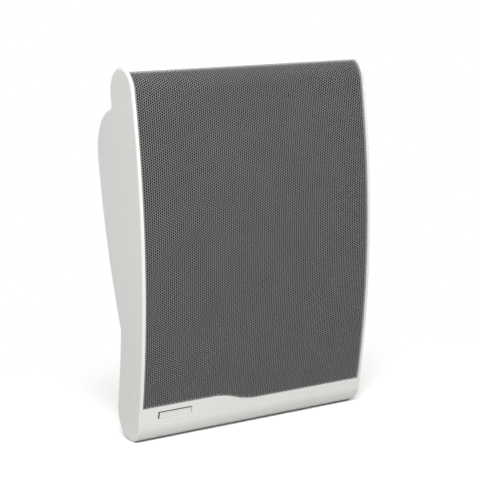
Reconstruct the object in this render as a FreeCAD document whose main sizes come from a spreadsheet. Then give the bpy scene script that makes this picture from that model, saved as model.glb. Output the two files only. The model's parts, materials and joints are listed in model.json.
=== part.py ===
"""Wall speaker: a curved moulded cabinet, a perforated steel grille and a full-range driver.

Every piece is drawn upright, with y = 0 at the front of the cabinet, y to the back and z = 0 at
half height. One tilt then stands the wall plane upright at y = 0, as the speaker hangs.
"""
import FreeCAD, Part
import math
import os

import Sketcher

SIZES = {
    # cabinet, a slab bent about a cross axis, with full-round ends and a bulge behind
    "grille_width": 197.2,
    "rim_width": 5.0,
    "body_height": 297.2,
    "slab_depth": 41.6,
    "front_radius": 695.0,
    "shell_wall": 3.0,
    "edge_round": 2.5,
    "notch_round": 3.0,
    "bulge_centre_y": 46.0,
    "bulge_centre_drop": 68.3,
    "bulge_radius": 35.7,
    "bulge_top_angle": 109.47,
    "bulge_rear_radius": 522.0,
    "bulge_rear_angle": 7.65,
    "bulge_foot_drop": 150.75,
    # chin and front opening
    "chin_height_left": 32.7,
    "chin_height_right": 25.0,
    "chin_step_left": -38.6,
    "chin_step_right": 2.4,
    "opening_top_angle": 62.0,
    "opening_foot_rise": 45.0,
    # grille and cloth
    "grille_inset": 1.2,
    "grille_gauge": 1.0,
    "grille_gap": 0.3,
    "hole_pitch": 20.0,
    "hole_radius": 5.5,
    "hole_margin": 4.0,
    "cloth_gauge": 0.5,
    # blank plate on the chin
    "plate_side_inset": 31.1,
    "plate_centre_rise": 25.2,
    "plate_width": 29.0,
    "plate_height": 6.0,
    "plate_gauge": 1.0,
    "plate_sunk": 1.6,
    "plate_gap": 0.5,
    # baffle and the rails that carry it
    "baffle_inset": 18.0,
    "baffle_gauge": 6.0,
    "baffle_side_gap": 0.5,
    "baffle_end_gap": 16.0,
    "baffle_front_gap": 0.5,
    "rail_width": 10.0,
    "rail_depth": 10.0,
    "rail_end_gap": 16.0,
    "rail_screw_inset": 5.5,
    "rail_screw_end": 14.0,
    "pilot_floor": 1.0,
    # driver
    "driver_drop": 113.4,
    "flange_radius": 83.0,
    "cutout_radius": 72.5,
    "cutout_gap": 1.0,
    "frame_gauge": 1.0,
    "shoulder_depth": 8.0,
    "ledge_depth": 18.0,
    "ledge_outer": 46.0,
    "ledge_inner": 37.0,
    "seat_depth": 26.0,
    "seat_inner": 20.0,
    "window_inner": 47.5,
    "window_outer": 66.0,
    "window_half_angle": 30.0,
    "gasket_inner": 73.3,
    "gasket_outer": 76.2,
    "gasket_depth": 3.0,
    "driver_screw_circle": 79.5,
    "coil_inner": 12.75,
    "former_wall": 0.3,
    "glue_gap": 0.05,
    "former_front": 11.0,
    "former_back": 33.0,
    "winding_front": 24.5,
    "winding_back": 32.5,
    "winding_build": 0.7,
    "cone_radius": 60.0,
    "cone_edge_depth": 1.0,
    "cone_neck_depth": 13.0,
    "paper_gauge": 0.8,
    "neck_gauge": 1.07,
    "whizzer_radius": 30.0,
    "whizzer_edge_depth": 1.5,
    "whizzer_neck_depth": 11.6,
    "cap_rise": 4.0,
    "cap_shoulder_rise": 3.0,
    "roll_radius": 4.9,
    "roll_gauge": 0.5,
    "roll_foot": 2.4,
    "roll_land": 2.7,
    "spider_depth": 15.8,
    "spider_gauge": 0.6,
    "spider_wave": 1.0,
    "spider_neck": 3.0,
    "spider_land": 38.5,
    "pole_gap": 0.35,
    "plate_bore_gap": 0.65,
    "steel_radius": 32.0,
    "top_plate_depth": 5.0,
    "magnet_inner": 17.0,
    "magnet_outer": 35.0,
    "magnet_depth": 8.0,
    "yoke_depth": 4.5,
    # connections inside
    "tag_board_width": 30.0,
    "tag_board_height": 7.0,
    "tag_board_gauge": 1.5,
    "tag_spacing": 20.0,
    "tag_width": 4.0,
    "tag_length": 14.0,
    "tag_gauge": 0.6,
    "lead_radius": 0.9,
    "flex_radius": 0.5,
    "flex_reach": 40.0,
    # push terminals in the lower back
    "terminal_rise": 61.4,
    "terminal_sunk": 6.05,
    "terminal_width": 58.0,
    "terminal_height": 38.0,
    "terminal_flange": 2.0,
    "terminal_gap": 0.5,
    "terminal_backing": 6.0,
    "cup_depth": 11.0,
    "cup_wall": 2.5,
    "bay_width": 17.0,
    "bay_height": 19.0,
    "bay_depth": 8.0,
    "bay_spacing": 20.0,
    "lever_side_gap": 0.4,
    "pivot_radius": 1.2,
    "pivot_gap": 0.1,
    "pivot_sink": 4.0,
    "pivot_drop": 6.0,
    "pivot_reach": 1.0,
    "lever_end_gap": 1.1,
    "lever_tip_gap": 1.7,
    "lever_back": 2.0,
    "lever_heel": 1.8,
    "lever_root_rise": 2.5,
    "lever_tip_sink": 0.8,
    "lever_proud": 1.2,
    "lever_lip": 1.5,
    "wire_window": 2.6,
    "wire_window_drop": 1.4,
    "contact_width": 5.0,
    "contact_gauge": 0.4,
    "leaf_gap": 0.3,
    "leaf_tip_drop": 1.3,
    "tail_length": 5.0,
    "tail_gap": 1.0,
    "terminal_screw_spacing": 50.0,
    # keyhole plate on the wall side
    "hanger_drop": 18.1366,
    "hanger_width": 150.0,
    "hanger_height": 30.0,
    "hanger_gauge": 1.5,
    "hanger_sunk": 2.7,
    "hanger_gap": 0.5,
    "hanger_backing": 9.3,
    "keyhole_spacing": 120.0,
    "keyhole_radius": 4.5,
    "keyhole_slot": 2.5,
    "keyhole_rise": 9.0,
    "keyhole_pocket": 5.0,
    "hanger_screw_x": 40.0,
    "hanger_screw_z": 9.0,
    # screws
    "screw_head_radius": 3.0,
    "screw_head_height": 1.8,
    "screw_shank_radius": 1.35,
    "screw_pilot_gap": 0.1,
    "screw_hole_gap": 0.6,
    "screw_length": 12.0,
    "driver_screw_length": 6.5,
    "terminal_screw_length": 7.0,
    "hanger_screw_height": 1.0,
    "hanger_screw_length": 9.0,
}

SMALL = 1e-6
EDGE_TOLERANCE = 1e-4
BEND_SHARE = 0.45
BEND_RUN = 0.6
NOTCH_ANGLE = math.radians(5)
WINDOWS = 4
HOLE_SIDES = 6
ROUND_SIDES = 8
V = FreeCAD.Vector
X_AXIS = V(1, 0, 0)
NO_SHIFT = FreeCAD.Placement()

doc = FreeCAD.newDocument("wall_speaker")
sheet = doc.addObject("Spreadsheet::Sheet", "dims")
for row, (alias, value) in enumerate(SIZES.items(), start=1):
    sheet.set(f"A{row}", alias)
    sheet.set(f"B{row}", str(value))
    sheet.setAlias(f"B{row}", alias)
doc.recompute()


def size(alias):
    """A driving dimension, read from the sheet."""
    return float(getattr(sheet, alias))


# Shared lengths, as expressions on the sheet

END_RADIUS = "(dims.slab_depth / 2)"
END_Z = "((dims.body_height - dims.slab_depth) / 2)"
MID_RADIUS = "(dims.front_radius - dims.slab_depth / 2)"
SIN_END = f"({END_Z} / {MID_RADIUS})"
COS_END = f"sqrt(1 - {SIN_END} * {SIN_END})"
END_Y = f"(dims.front_radius - {MID_RADIUS} * {COS_END})"
BACK_RADIUS = "(dims.front_radius - dims.slab_depth)"
HALF_HEIGHT = "(dims.body_height / 2)"
BODY_WIDTH = "(dims.grille_width + 2 * dims.rim_width)"
HALF_OPENING = "(dims.grille_width / 2)"
BULGE_Z = f"({HALF_HEIGHT} - dims.bulge_centre_drop)"
REAR_REACH = "(dims.bulge_rear_radius - dims.bulge_radius)"
REAR_Y = f"(dims.bulge_centre_y - {REAR_REACH} * cos(dims.bulge_rear_angle))"
REAR_Z = f"({BULGE_Z} + {REAR_REACH} * sin(dims.bulge_rear_angle))"
CHIN_LEFT_Z = f"(dims.chin_height_left - {HALF_HEIGHT})"
CHIN_RIGHT_Z = f"(dims.chin_height_right - {HALF_HEIGHT})"
STEP_RUN = "((dims.chin_step_right - dims.chin_step_left) / 2)"
STEP_FALL = "((dims.chin_height_left - dims.chin_height_right) / 2)"
STEP_RADIUS = f"(({STEP_RUN} * {STEP_RUN} + {STEP_FALL} * {STEP_FALL}) / (2 * {STEP_FALL}))"
STEP_MID_X = "((dims.chin_step_left + dims.chin_step_right) / 2)"
STEP_MID_Z = f"(({CHIN_LEFT_Z} + {CHIN_RIGHT_Z}) / 2)"
BAFFLE_BACK = "(dims.baffle_inset + dims.baffle_gauge)"
CLOTH_INSET = "(dims.grille_inset + dims.grille_gauge + dims.grille_gap)"
CLOTH_BACK = f"(dims.front_radius - {CLOTH_INSET} - dims.cloth_gauge)"
BAFFLE_FACE = "(dims.front_radius - dims.baffle_inset + dims.baffle_front_gap)"
BAFFLE_ROOM = f"sqrt({CLOTH_BACK} * {CLOTH_BACK} - {BAFFLE_FACE} * {BAFFLE_FACE})"
BAFFLE_HALF_HEIGHT = f"min({HALF_HEIGHT} - dims.baffle_end_gap; {BAFFLE_ROOM})"
RAIL_HALF = f"({BAFFLE_HALF_HEIGHT} - dims.rail_end_gap)"
RAIL_SCREW_X = f"({HALF_OPENING} - dims.rail_screw_inset)"
RAIL_SCREW_Z = f"({RAIL_HALF} - dims.rail_screw_end)"
DRIVER_Z = f"({HALF_HEIGHT} - dims.driver_drop)"
TERMINAL_Z = f"(dims.terminal_rise - {HALF_HEIGHT})"
TERMINAL_BACK = f"(dims.front_radius - sqrt({BACK_RADIUS} * {BACK_RADIUS} - {TERMINAL_Z} * {TERMINAL_Z}))"
TERMINAL_SEAT = f"({TERMINAL_BACK} - dims.terminal_sunk)"
TAIL_ROOM = f"({TERMINAL_SEAT} - dims.cup_depth - {BAFFLE_BACK} - dims.tail_gap)"
TAIL_REACH = f"(dims.cup_depth + min(dims.tail_length; {TAIL_ROOM}))"
FORMER_OUTER = "(dims.coil_inner + dims.former_wall)"
NECK_RADIUS = f"({FORMER_OUTER} + dims.glue_gap)"
MAGNET_FRONT = "(dims.seat_depth + dims.top_plate_depth)"
YOKE_FRONT = f"({MAGNET_FRONT} + dims.magnet_depth)"
PLATE_X = f"(dims.plate_side_inset - {BODY_WIDTH} / 2)"
PLATE_Z = f"(dims.plate_centre_rise - {HALF_HEIGHT})"
BAY_X = "(dims.bay_spacing / 2)"
CUP_HALF_WIDTH = f"({BAY_X} + dims.bay_width / 2 + dims.cup_wall)"
CUP_HALF_HEIGHT = "(dims.bay_height / 2 + dims.cup_wall)"
LEVER_TIP = "(dims.bay_height / 2 - dims.lever_tip_gap)"
PILOT_RADIUS = "(dims.screw_shank_radius + dims.screw_pilot_gap)"
HOLE_RADIUS = "(dims.screw_shank_radius + dims.screw_hole_gap)"


def number(expression):
    """The present value of an expression on the sheet."""
    return float(sheet.evalExpression(expression.replace("dims.", "")))


# The wall plane touches the rear of the bulge and the round bottom end

REACH_Y = number(REAR_Y) - number(END_Y)
REACH_Z = number(REAR_Z) + number(END_Z)
LEAN = math.acos((number(END_RADIUS) - size("bulge_rear_radius")) / math.hypot(REACH_Y, REACH_Z))
TILT = LEAN - math.atan2(REACH_Z, REACH_Y)
TILT_DEG = math.degrees(TILT)
WALL_NORMAL = V(0, math.cos(TILT), -math.sin(TILT))
WALL_UP = V(0, math.sin(TILT), math.cos(TILT))
REAR_CENTRE = V(0, number(REAR_Y), number(REAR_Z))
TOUCH = REAR_CENTRE + WALL_NORMAL * size("bulge_rear_radius")
BULGE_CENTRE = V(0, size("bulge_centre_y"), number(BULGE_Z))
LEVEL = BULGE_CENTRE + WALL_NORMAL * (TOUCH - BULGE_CENTRE).dot(WALL_NORMAL)
HANG_POINT = LEVEL - WALL_UP * size("hanger_drop")
UPRIGHT = FreeCAD.Rotation(X_AXIS, TILT_DEG)
MOUNTED = FreeCAD.Placement(UPRIGHT.multVec(HANG_POINT) * -1, UPRIGHT)
AXIS_TURN = FreeCAD.Rotation(X_AXIS, -90)
DRIVER_PLACE = FreeCAD.Placement(V(0, size("baffle_inset"), number(DRIVER_Z)), AXIS_TURN)
ON_WALL = FreeCAD.Placement(HANG_POINT, UPRIGHT.inverted())

pieces = []


def keep(piece, label, local=NO_SHIFT):
    """Names a finished piece and stands it in the speaker as it hangs."""
    piece.Label = label
    piece.Placement = MOUNTED.multiply(local)
    pieces.append(piece)


# Sketches and features

def new_sketch(body, role, offset=NO_SHIFT):
    """A sketch on one of the body's own origin planes, shifted or turned by offset."""
    sketch = body.newObject("Sketcher::SketchObject", f"{body.Name}_sketch")
    plane = [part for part in body.Origin.OriginFeatures if part.Role == role][0]
    sketch.AttachmentSupport = [(plane, "")]
    sketch.MapMode = "FlatFace"
    sketch.AttachmentOffset = offset
    return sketch


def pin_point(sketch, geometry, end, place):
    """Holds one end of a line or arc, or a circle's centre, at a place given as two expressions."""
    kinds = (("DistanceX", -2), ("DistanceY", -1))
    for (kind, axis), expression in zip(kinds, place):
        value = number(expression)
        if abs(value) < SMALL:
            sketch.addConstraint(Sketcher.Constraint("PointOnObject", geometry, end, axis))
        else:
            held = Sketcher.Constraint(kind, -1, 1, geometry, end, value)
            sketch.setExpression(f"Constraints[{sketch.addConstraint(held)}]", expression)


def draw_outline(sketch, corners):
    """A closed outline. Each corner is two expressions, and a radius and turn where an arc follows."""
    places = [V(number(corner[0]), number(corner[1]), 0) for corner in corners]
    first = sketch.GeometryCount
    ends = []
    for index, corner in enumerate(corners):
        start = places[index]
        stop = places[(index + 1) % len(places)]
        if len(corner) == 2:
            sketch.addGeometry(Part.LineSegment(start, stop))
            ends.append((1, 2))
            continue
        left = corner[3] == "left"
        tail, head = (start, stop) if left else (stop, start)
        radius = number(corner[2])
        half = (head - tail) * 0.5
        reach = math.sqrt(max(radius**2 - half.Length**2, 0.0)) / half.Length
        centre = tail + half + V(-half.y, half.x, 0) * reach
        opening = math.atan2(tail.y - centre.y, tail.x - centre.x)
        closing = math.atan2(head.y - centre.y, head.x - centre.x)
        if closing <= opening:
            closing += 2 * math.pi
        circle = Part.Circle(centre, V(0, 0, 1), radius)
        sketch.addGeometry(Part.ArcOfCircle(circle, opening, closing))
        ends.append((1, 2) if left else (2, 1))
    for index, corner in enumerate(corners):
        here = first + index
        following = (index + 1) % len(corners)
        meet = (here, ends[index][1], first + following, ends[following][0])
        sketch.addConstraint(Sketcher.Constraint("Coincident", *meet))
    for index, corner in enumerate(corners):
        pin_point(sketch, first + index, ends[index][0], corner[:2])
        if len(corner) == 4:
            held = Sketcher.Constraint("Radius", first + index, number(corner[2]))
            sketch.setExpression(f"Constraints[{sketch.addConstraint(held)}]", corner[2])


def draw_circle(sketch, x, y, radius):
    """A circle whose centre and radius are expressions."""
    circle = Part.Circle(V(number(x), number(y), 0), V(0, 0, 1), number(radius))
    index = sketch.addGeometry(circle)
    held = Sketcher.Constraint("Radius", index, number(radius))
    sketch.setExpression(f"Constraints[{sketch.addConstraint(held)}]", radius)
    pin_point(sketch, index, 3, (x, y))


def rectangle(left, right, low, high):
    """The corners of an upright rectangle."""
    return [(left, low), (right, low), (right, high), (left, high)]


def centred(half_width, half_height, x="0", y="0"):
    """The corners of a rectangle about a centre."""
    return rectangle(f"{x} - {half_width}", f"{x} + {half_width}",
                     f"{y} - {half_height}", f"{y} + {half_height}")


def extrude(body, kind, sketch, length, both_ways=False, turned=False):
    """A pad or a pocket of a sketch."""
    feature = body.newObject(f"PartDesign::{kind}", f"{body.Name}_{kind}")
    feature.Profile = sketch
    feature.SideType = "Symmetric" if both_ways else "One side"
    feature.Reversed = turned
    feature.Length = number(length)
    feature.setExpression("Length", length)
    sketch.Visibility = False
    before = body.Shape.Volume if kind == "Pocket" else 0.0
    doc.recompute()
    if kind == "Pocket" and body.Shape.Volume > before - SMALL:
        raise RuntimeError(f"{feature.Name} cuts nothing")
    return feature


def round_edges(body, base, edges, radius):
    """A fillet on the listed edges of the last feature."""
    fillet = body.newObject("PartDesign::Fillet", f"{body.Name}_round")
    fillet.Base = (base, edges)
    fillet.Radius = size(radius)
    fillet.setExpression("Radius", f"dims.{radius}")
    doc.recompute()
    return fillet


def turned_body(label, corners):
    """A round piece of the driver: a profile of radius and depth, turned about the driver's axis."""
    body = doc.addObject("PartDesign::Body", label)
    sketch = new_sketch(body, "XZ_Plane")
    draw_outline(sketch, corners)
    turn = body.newObject("PartDesign::Revolution", f"{label}_turn")
    turn.Profile = sketch
    turn.ReferenceAxis = (sketch, ["V_Axis"])
    turn.Angle = 360
    sketch.Visibility = False
    doc.recompute()
    return body


def feature_piece(label, shape, local=NO_SHIFT):
    """A piece whose shape is made directly."""
    piece = doc.addObject("Part::Feature", label)
    piece.Shape = shape
    keep(piece, label, local)
    return piece


# Cabinet

def slab_outline(inset):
    """The side view of the slab, drawn in by inset."""
    front = f"(dims.front_radius - {inset})"
    back = f"({BACK_RADIUS} + {inset})"
    end = f"({END_RADIUS} - {inset})"
    front_y = f"dims.front_radius - {front} * {COS_END}"
    front_z = f"{front} * {SIN_END}"
    back_y = f"dims.front_radius - {back} * {COS_END}"
    back_z = f"{back} * {SIN_END}"
    return [
        (front_y, f"-1 * {front_z}", end, "left"),
        (END_Y, f"-1 * ({END_Z} + {end})", end, "left"),
        (back_y, f"-1 * {back_z}", back, "right"),
        (back_y, back_z, end, "left"),
        (END_Y, f"{END_Z} + {end}", end, "left"),
        (front_y, front_z, front, "left"),
    ]


def bulge_outline(inset):
    """The side view of the rear bulge, closed by a line inside the slab."""
    crown = f"(dims.bulge_radius - {inset})"
    rear = f"(dims.bulge_rear_radius - {inset})"
    foot_z = f"({BULGE_Z} - dims.bulge_foot_drop)"
    foot_y = f"{REAR_Y} + sqrt({rear} * {rear} - ({foot_z} - {REAR_Z}) * ({foot_z} - {REAR_Z}))"
    return [
        (foot_y, foot_z, rear, "left"),
        (f"dims.bulge_centre_y + {crown} * cos(dims.bulge_rear_angle)",
         f"{BULGE_Z} - {crown} * sin(dims.bulge_rear_angle)", crown, "left"),
        (f"dims.bulge_centre_y + {crown} * cos(dims.bulge_top_angle)",
         f"{BULGE_Z} + {crown} * sin(dims.bulge_top_angle)"),
    ]


def chin_outline(top, gap):
    """The front view of the opening above the chin, whose edge falls in a smooth step."""
    left_z = f"{CHIN_LEFT_Z} + {gap}"
    right_z = f"{CHIN_RIGHT_Z} + {gap}"
    return [
        (f"-1 * {HALF_OPENING}", top),
        (f"-1 * {HALF_OPENING}", left_z),
        ("dims.chin_step_left", left_z, STEP_RADIUS, "right"),
        (STEP_MID_X, f"{STEP_MID_Z} + {gap}", STEP_RADIUS, "left"),
        ("dims.chin_step_right", right_z),
        (HALF_OPENING, right_z),
        (HALF_OPENING, top),
    ]


def is_notch(shape, edge):
    """True for a straight cross edge where two faces meet at an angle."""
    if edge.BoundBox.XLength < number(BODY_WIDTH) / 2:
        return False
    middle = edge.valueAt((edge.FirstParameter + edge.LastParameter) / 2)
    normals = []
    for face in shape.ancestorsOfType(edge, Part.Face):
        normals.append(face.normalAt(*face.Surface.parameter(middle)))
    return normals[0].getAngle(normals[1]) > NOTCH_ANGLE


def wall_offset(depth):
    """A sketch offset on the plane parallel to the wall, this far in front of it."""
    point = HANG_POINT - WALL_NORMAL * depth
    return FreeCAD.Placement(V(0, point.z, -point.y), FreeCAD.Rotation(X_AXIS, -TILT_DEG))


def chin_offset():
    """A sketch offset on the plane that touches the chin at the blank plate."""
    slope = math.asin(number(PLATE_Z) / size("front_radius"))
    depth = size("front_radius") * (1 - math.cos(slope))
    turn = FreeCAD.Rotation(X_AXIS, -math.degrees(slope))
    return FreeCAD.Placement(V(number(PLATE_X), number(PLATE_Z), -depth), turn)


def back_offset(depth):
    """A sketch offset on the upright cross plane at this depth behind the front."""
    return FreeCAD.Placement(V(0, 0, -depth), FreeCAD.Rotation())


def make_cabinet():
    body = doc.addObject("PartDesign::Body", "cabinet")
    for outline in (slab_outline("0"), bulge_outline("0")):
        sketch = new_sketch(body, "YZ_Plane")
        draw_outline(sketch, outline)
        last = extrude(body, "Pad", sketch, BODY_WIDTH, both_ways=True)

    edges = last.Shape.Edges
    notches = [f"Edge{i}" for i, edge in enumerate(edges, 1) if is_notch(last.Shape, edge)]
    last = round_edges(body, last, notches, "notch_round")
    side = number(BODY_WIDTH) / 2
    rims = []
    for i, edge in enumerate(last.Shape.Edges, 1):
        box = edge.BoundBox
        if abs(abs(box.XMin) - side) < EDGE_TOLERANCE and box.XLength < EDGE_TOLERANCE:
            rims.append(f"Edge{i}")
    round_edges(body, last, rims, "edge_round")

    for outline in (slab_outline("dims.shell_wall"), bulge_outline("dims.shell_wall")):
        sketch = new_sketch(body, "YZ_Plane")
        draw_outline(sketch, outline)
        extrude(body, "Pocket", sketch, "dims.grille_width", both_ways=True)

    # front opening, cut square to the surface at its top edge
    reach = "(2 * dims.slab_depth)"
    lip_y = f"{END_Y} - {reach} * cos(dims.opening_top_angle)"
    lip_z = f"{END_Z} + {reach} * sin(dims.opening_top_angle)"
    foot_z = f"dims.opening_foot_rise - {HALF_HEIGHT}"
    sketch = new_sketch(body, "YZ_Plane")
    draw_outline(sketch, [
        (f"-1 * {reach}", foot_z),
        ("dims.baffle_inset", foot_z),
        (END_Y, END_Z),
        (lip_y, lip_z),
        (f"-1 * {reach}", lip_z),
    ])
    extrude(body, "Pocket", sketch, "dims.grille_width", both_ways=True)
    sketch = new_sketch(body, "XZ_Plane")
    draw_outline(sketch, chin_outline(f"{foot_z} + dims.slab_depth", "0"))
    extrude(body, "Pocket", sketch, "dims.baffle_inset - dims.grille_gauge")

    # side rails for the baffle, with pilot holes
    sketch = new_sketch(body, "XZ_Plane", back_offset(number(BAFFLE_BACK)))
    for sign in ("-1", "1"):
        middle = f"{sign} * ({HALF_OPENING} + (dims.rim_width / 2 - dims.rail_width) / 2)"
        half = "((dims.rail_width + dims.rim_width / 2) / 2)"
        draw_outline(sketch, centred(half, RAIL_HALF, middle))
    extrude(body, "Pad", sketch, "dims.rail_depth", turned=True)
    sketch = new_sketch(body, "XZ_Plane", back_offset(number(BAFFLE_BACK)))
    for x in (f"-1 * {RAIL_SCREW_X}", RAIL_SCREW_X):
        for z in (f"-1 * {RAIL_SCREW_Z}", "0", RAIL_SCREW_Z):
            draw_circle(sketch, x, z, PILOT_RADIUS)
    extrude(body, "Pocket", sketch, "dims.rail_depth - dims.pilot_floor")

    # flat well for the terminals, backed inside
    well_width = "(dims.terminal_width / 2 + dims.terminal_gap)"
    well_height = "(dims.terminal_height / 2 + dims.terminal_gap)"
    inside = number(TERMINAL_SEAT) - size("terminal_backing")
    sketch = new_sketch(body, "XZ_Plane", back_offset(inside))
    draw_outline(sketch, centred(f"({well_width} + dims.shell_wall)",
                                 f"({well_height} + dims.shell_wall)", "0", TERMINAL_Z))
    extrude(body, "Pad", sketch, "dims.terminal_backing + dims.shell_wall", turned=True)
    sketch = new_sketch(body, "XZ_Plane", back_offset(number(TERMINAL_SEAT)))
    draw_outline(sketch, centred(well_width, well_height, "0", TERMINAL_Z))
    extrude(body, "Pocket", sketch, "dims.slab_depth")
    sketch = new_sketch(body, "XZ_Plane", back_offset(inside - size("shell_wall")))
    draw_outline(sketch, centred(f"({CUP_HALF_WIDTH} + dims.terminal_gap)",
                                 f"({CUP_HALF_HEIGHT} + dims.terminal_gap)", "0", TERMINAL_Z))
    extrude(body, "Pocket", sketch, "dims.terminal_backing + 2 * dims.shell_wall")
    sketch = new_sketch(body, "XZ_Plane", back_offset(inside - size("shell_wall")))
    for sign in ("-1", "1"):
        draw_circle(sketch, f"{sign} * dims.terminal_screw_spacing / 2", TERMINAL_Z, PILOT_RADIUS)
    extrude(body, "Pocket", sketch, "dims.terminal_backing + 2 * dims.shell_wall")

    # seat for the keyhole plate, backed inside, with room for two screw heads
    plate_width = "(dims.hanger_width / 2 + dims.hanger_gap)"
    plate_height = "(dims.hanger_height / 2 + dims.hanger_gap)"
    sketch = new_sketch(body, "XZ_Plane", wall_offset(size("shell_wall") / 2))
    draw_outline(sketch, centred(f"({plate_width} + dims.shell_wall)",
                                 f"({plate_height} + dims.shell_wall)"))
    extrude(body, "Pad", sketch, "dims.hanger_sunk + dims.hanger_backing - dims.shell_wall / 2")
    sketch = new_sketch(body, "XZ_Plane", wall_offset(size("hanger_sunk")))
    draw_outline(sketch, centred(plate_width, plate_height))
    extrude(body, "Pocket", sketch, "dims.slab_depth")
    sketch = new_sketch(body, "XZ_Plane", wall_offset(size("hanger_sunk") + size("keyhole_pocket")))
    for sign in ("-1", "1"):
        draw_outline(sketch, centred("(dims.keyhole_radius + dims.hanger_gap)",
                                     "(dims.keyhole_radius + dims.keyhole_rise)",
                                     f"{sign} * dims.keyhole_spacing / 2",
                                     "dims.keyhole_rise / 2"))
    extrude(body, "Pocket", sketch, "dims.keyhole_pocket + dims.hanger_sunk")
    sketch = new_sketch(body, "XZ_Plane", wall_offset(size("hanger_sunk")))
    for x in ("-1 * dims.hanger_screw_x", "dims.hanger_screw_x"):
        for z in ("-1 * dims.hanger_screw_z", "dims.hanger_screw_z"):
            draw_circle(sketch, x, z, PILOT_RADIUS)
    extrude(body, "Pocket", sketch, "dims.hanger_backing - dims.pilot_floor", turned=True)

    # shallow seat for the blank plate
    sketch = new_sketch(body, "XZ_Plane", chin_offset())
    draw_outline(sketch, centred("(dims.plate_width / 2 + dims.plate_gap)",
                                 "(dims.plate_height / 2 + dims.plate_gap)"))
    extrude(body, "Pocket", sketch, "dims.plate_sunk")
    keep(body, "cabinet")


def make_nameplate():
    body = doc.addObject("PartDesign::Body", "nameplate")
    sketch = new_sketch(body, "XZ_Plane", chin_offset())
    draw_outline(sketch, centred("dims.plate_width / 2", "dims.plate_height / 2"))
    extrude(body, "Pad", sketch, "dims.plate_gauge")
    normal = sketch.Placement.Rotation.multVec(V(0, 0, 1))
    keep(body, "nameplate", FreeCAD.Placement(normal * -size("plate_sunk"), FreeCAD.Rotation()))


# Grille and cloth

def arc_point(angle, radius):
    """A point on the front curve, by its angle above the middle."""
    return V(0, size("front_radius") - radius * math.cos(angle), radius * math.sin(angle))


def end_point(angle, radius):
    """A point on the round top end, by its angle up from the front."""
    return V(0, number(END_Y) - radius * math.cos(angle), number(END_Z) + radius * math.sin(angle))


def front_curve(inset, foot, top):
    """The front curve and the top round, drawn in by inset, from the foot angle to the top angle."""
    front = size("front_radius") - inset
    end = number(END_RADIUS) - inset
    join = math.asin(number(SIN_END))
    face = Part.Arc(arc_point(foot, front), arc_point((foot + join) / 2, front),
                    arc_point(join, front))
    crown = Part.Arc(end_point(join, end), end_point((join + top) / 2, end), end_point(top, end))
    return [face.toShape(), crown.toShape()]


def curved_sheet(inset, gauge, width, foot, top):
    """A sheet of even thickness that follows the front curve and the top round."""
    outer = front_curve(inset, foot, top)
    inner = front_curve(inset + gauge, foot, top)
    ends = []
    for edge_pair, vertex in ((0, 0), (1, 1)):
        ends.append(Part.makeLine(outer[edge_pair].Vertexes[vertex].Point,
                                  inner[edge_pair].Vertexes[vertex].Point))
    wire = Part.Wire(Part.__sortEdges__(outer + inner + ends))
    solid = Part.Face(wire).extrude(V(width, 0, 0))
    solid.translate(V(-width / 2, 0, 0))
    return solid


def chin_tool(gap):
    """What lies below the chin's edge, raised by gap, as one block through the front."""
    step_left = V(size("chin_step_left"), 0, number(CHIN_LEFT_Z) + gap)
    step_right = V(size("chin_step_right"), 0, number(CHIN_RIGHT_Z) + gap)
    middle = (step_left + step_right) * 0.5
    radius = number(STEP_RADIUS)
    sag = radius - math.sqrt(radius**2 - (middle - step_left).Length**2 / 4)
    square = V(step_right.z - step_left.z, 0, step_left.x - step_right.x).normalize()
    upper = Part.Arc(step_left, (step_left + middle) * 0.5 - square * sag, middle)
    lower = Part.Arc(middle, (middle + step_right) * 0.5 + square * sag, step_right)
    side = size("grille_width")
    low = -size("body_height")
    left = V(-side, 0, step_left.z)
    right = V(side, 0, step_right.z)
    corners = [right, V(side, 0, low), V(-side, 0, low), left]
    edges = [Part.makeLine(left, step_left), upper.toShape(), lower.toShape(),
             Part.makeLine(step_right, right)]
    edges += [Part.makeLine(a, b) for a, b in zip(corners, corners[1:])]
    block = Part.Face(Part.Wire(Part.__sortEdges__(edges))).extrude(V(0, 2 * side, 0))
    block.translate(V(0, -side, 0))
    return block


def chin_edge(x):
    """The height of the chin's edge at x, taken level outside the step."""
    share = (x - size("chin_step_left")) / (size("chin_step_right") - size("chin_step_left"))
    share = min(max(share, 0.0), 1.0)
    smooth = share * share * (3 - 2 * share)
    return number(CHIN_LEFT_Z) + (number(CHIN_RIGHT_Z) - number(CHIN_LEFT_Z)) * smooth


def hole_centres(half_width):
    """Staggered holes in columns, set half a pitch apart from one column to the next."""
    pitch = size("hole_pitch")
    column = pitch * math.sqrt(3) / 2
    clear = size("hole_radius") + size("hole_margin")
    columns = int((half_width - clear) / column)
    top = number(END_Z)
    centres = []
    for index in range(-columns, columns + 1):
        x = index * column
        z = top - clear - (pitch / 2 if index % 2 else 0.0)
        while z > chin_edge(x) + clear:
            centres.append((x, z))
            z -= pitch
    return centres


def prism(sides, radius, length, centre, direction):
    """A straight prism with a regular outline, its axis from centre along direction."""
    turn = FreeCAD.Rotation(V(0, 0, 1), direction)
    corners = []
    for index in range(sides):
        angle = 2 * math.pi * index / sides
        corners.append(V(radius * math.cos(angle), radius * math.sin(angle), 0))
    face = Part.Face(Part.makePolygon(corners + corners[:1]))
    solid = face.extrude(V(0, 0, length))
    solid.Placement = FreeCAD.Placement(centre, turn)
    return solid


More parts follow.
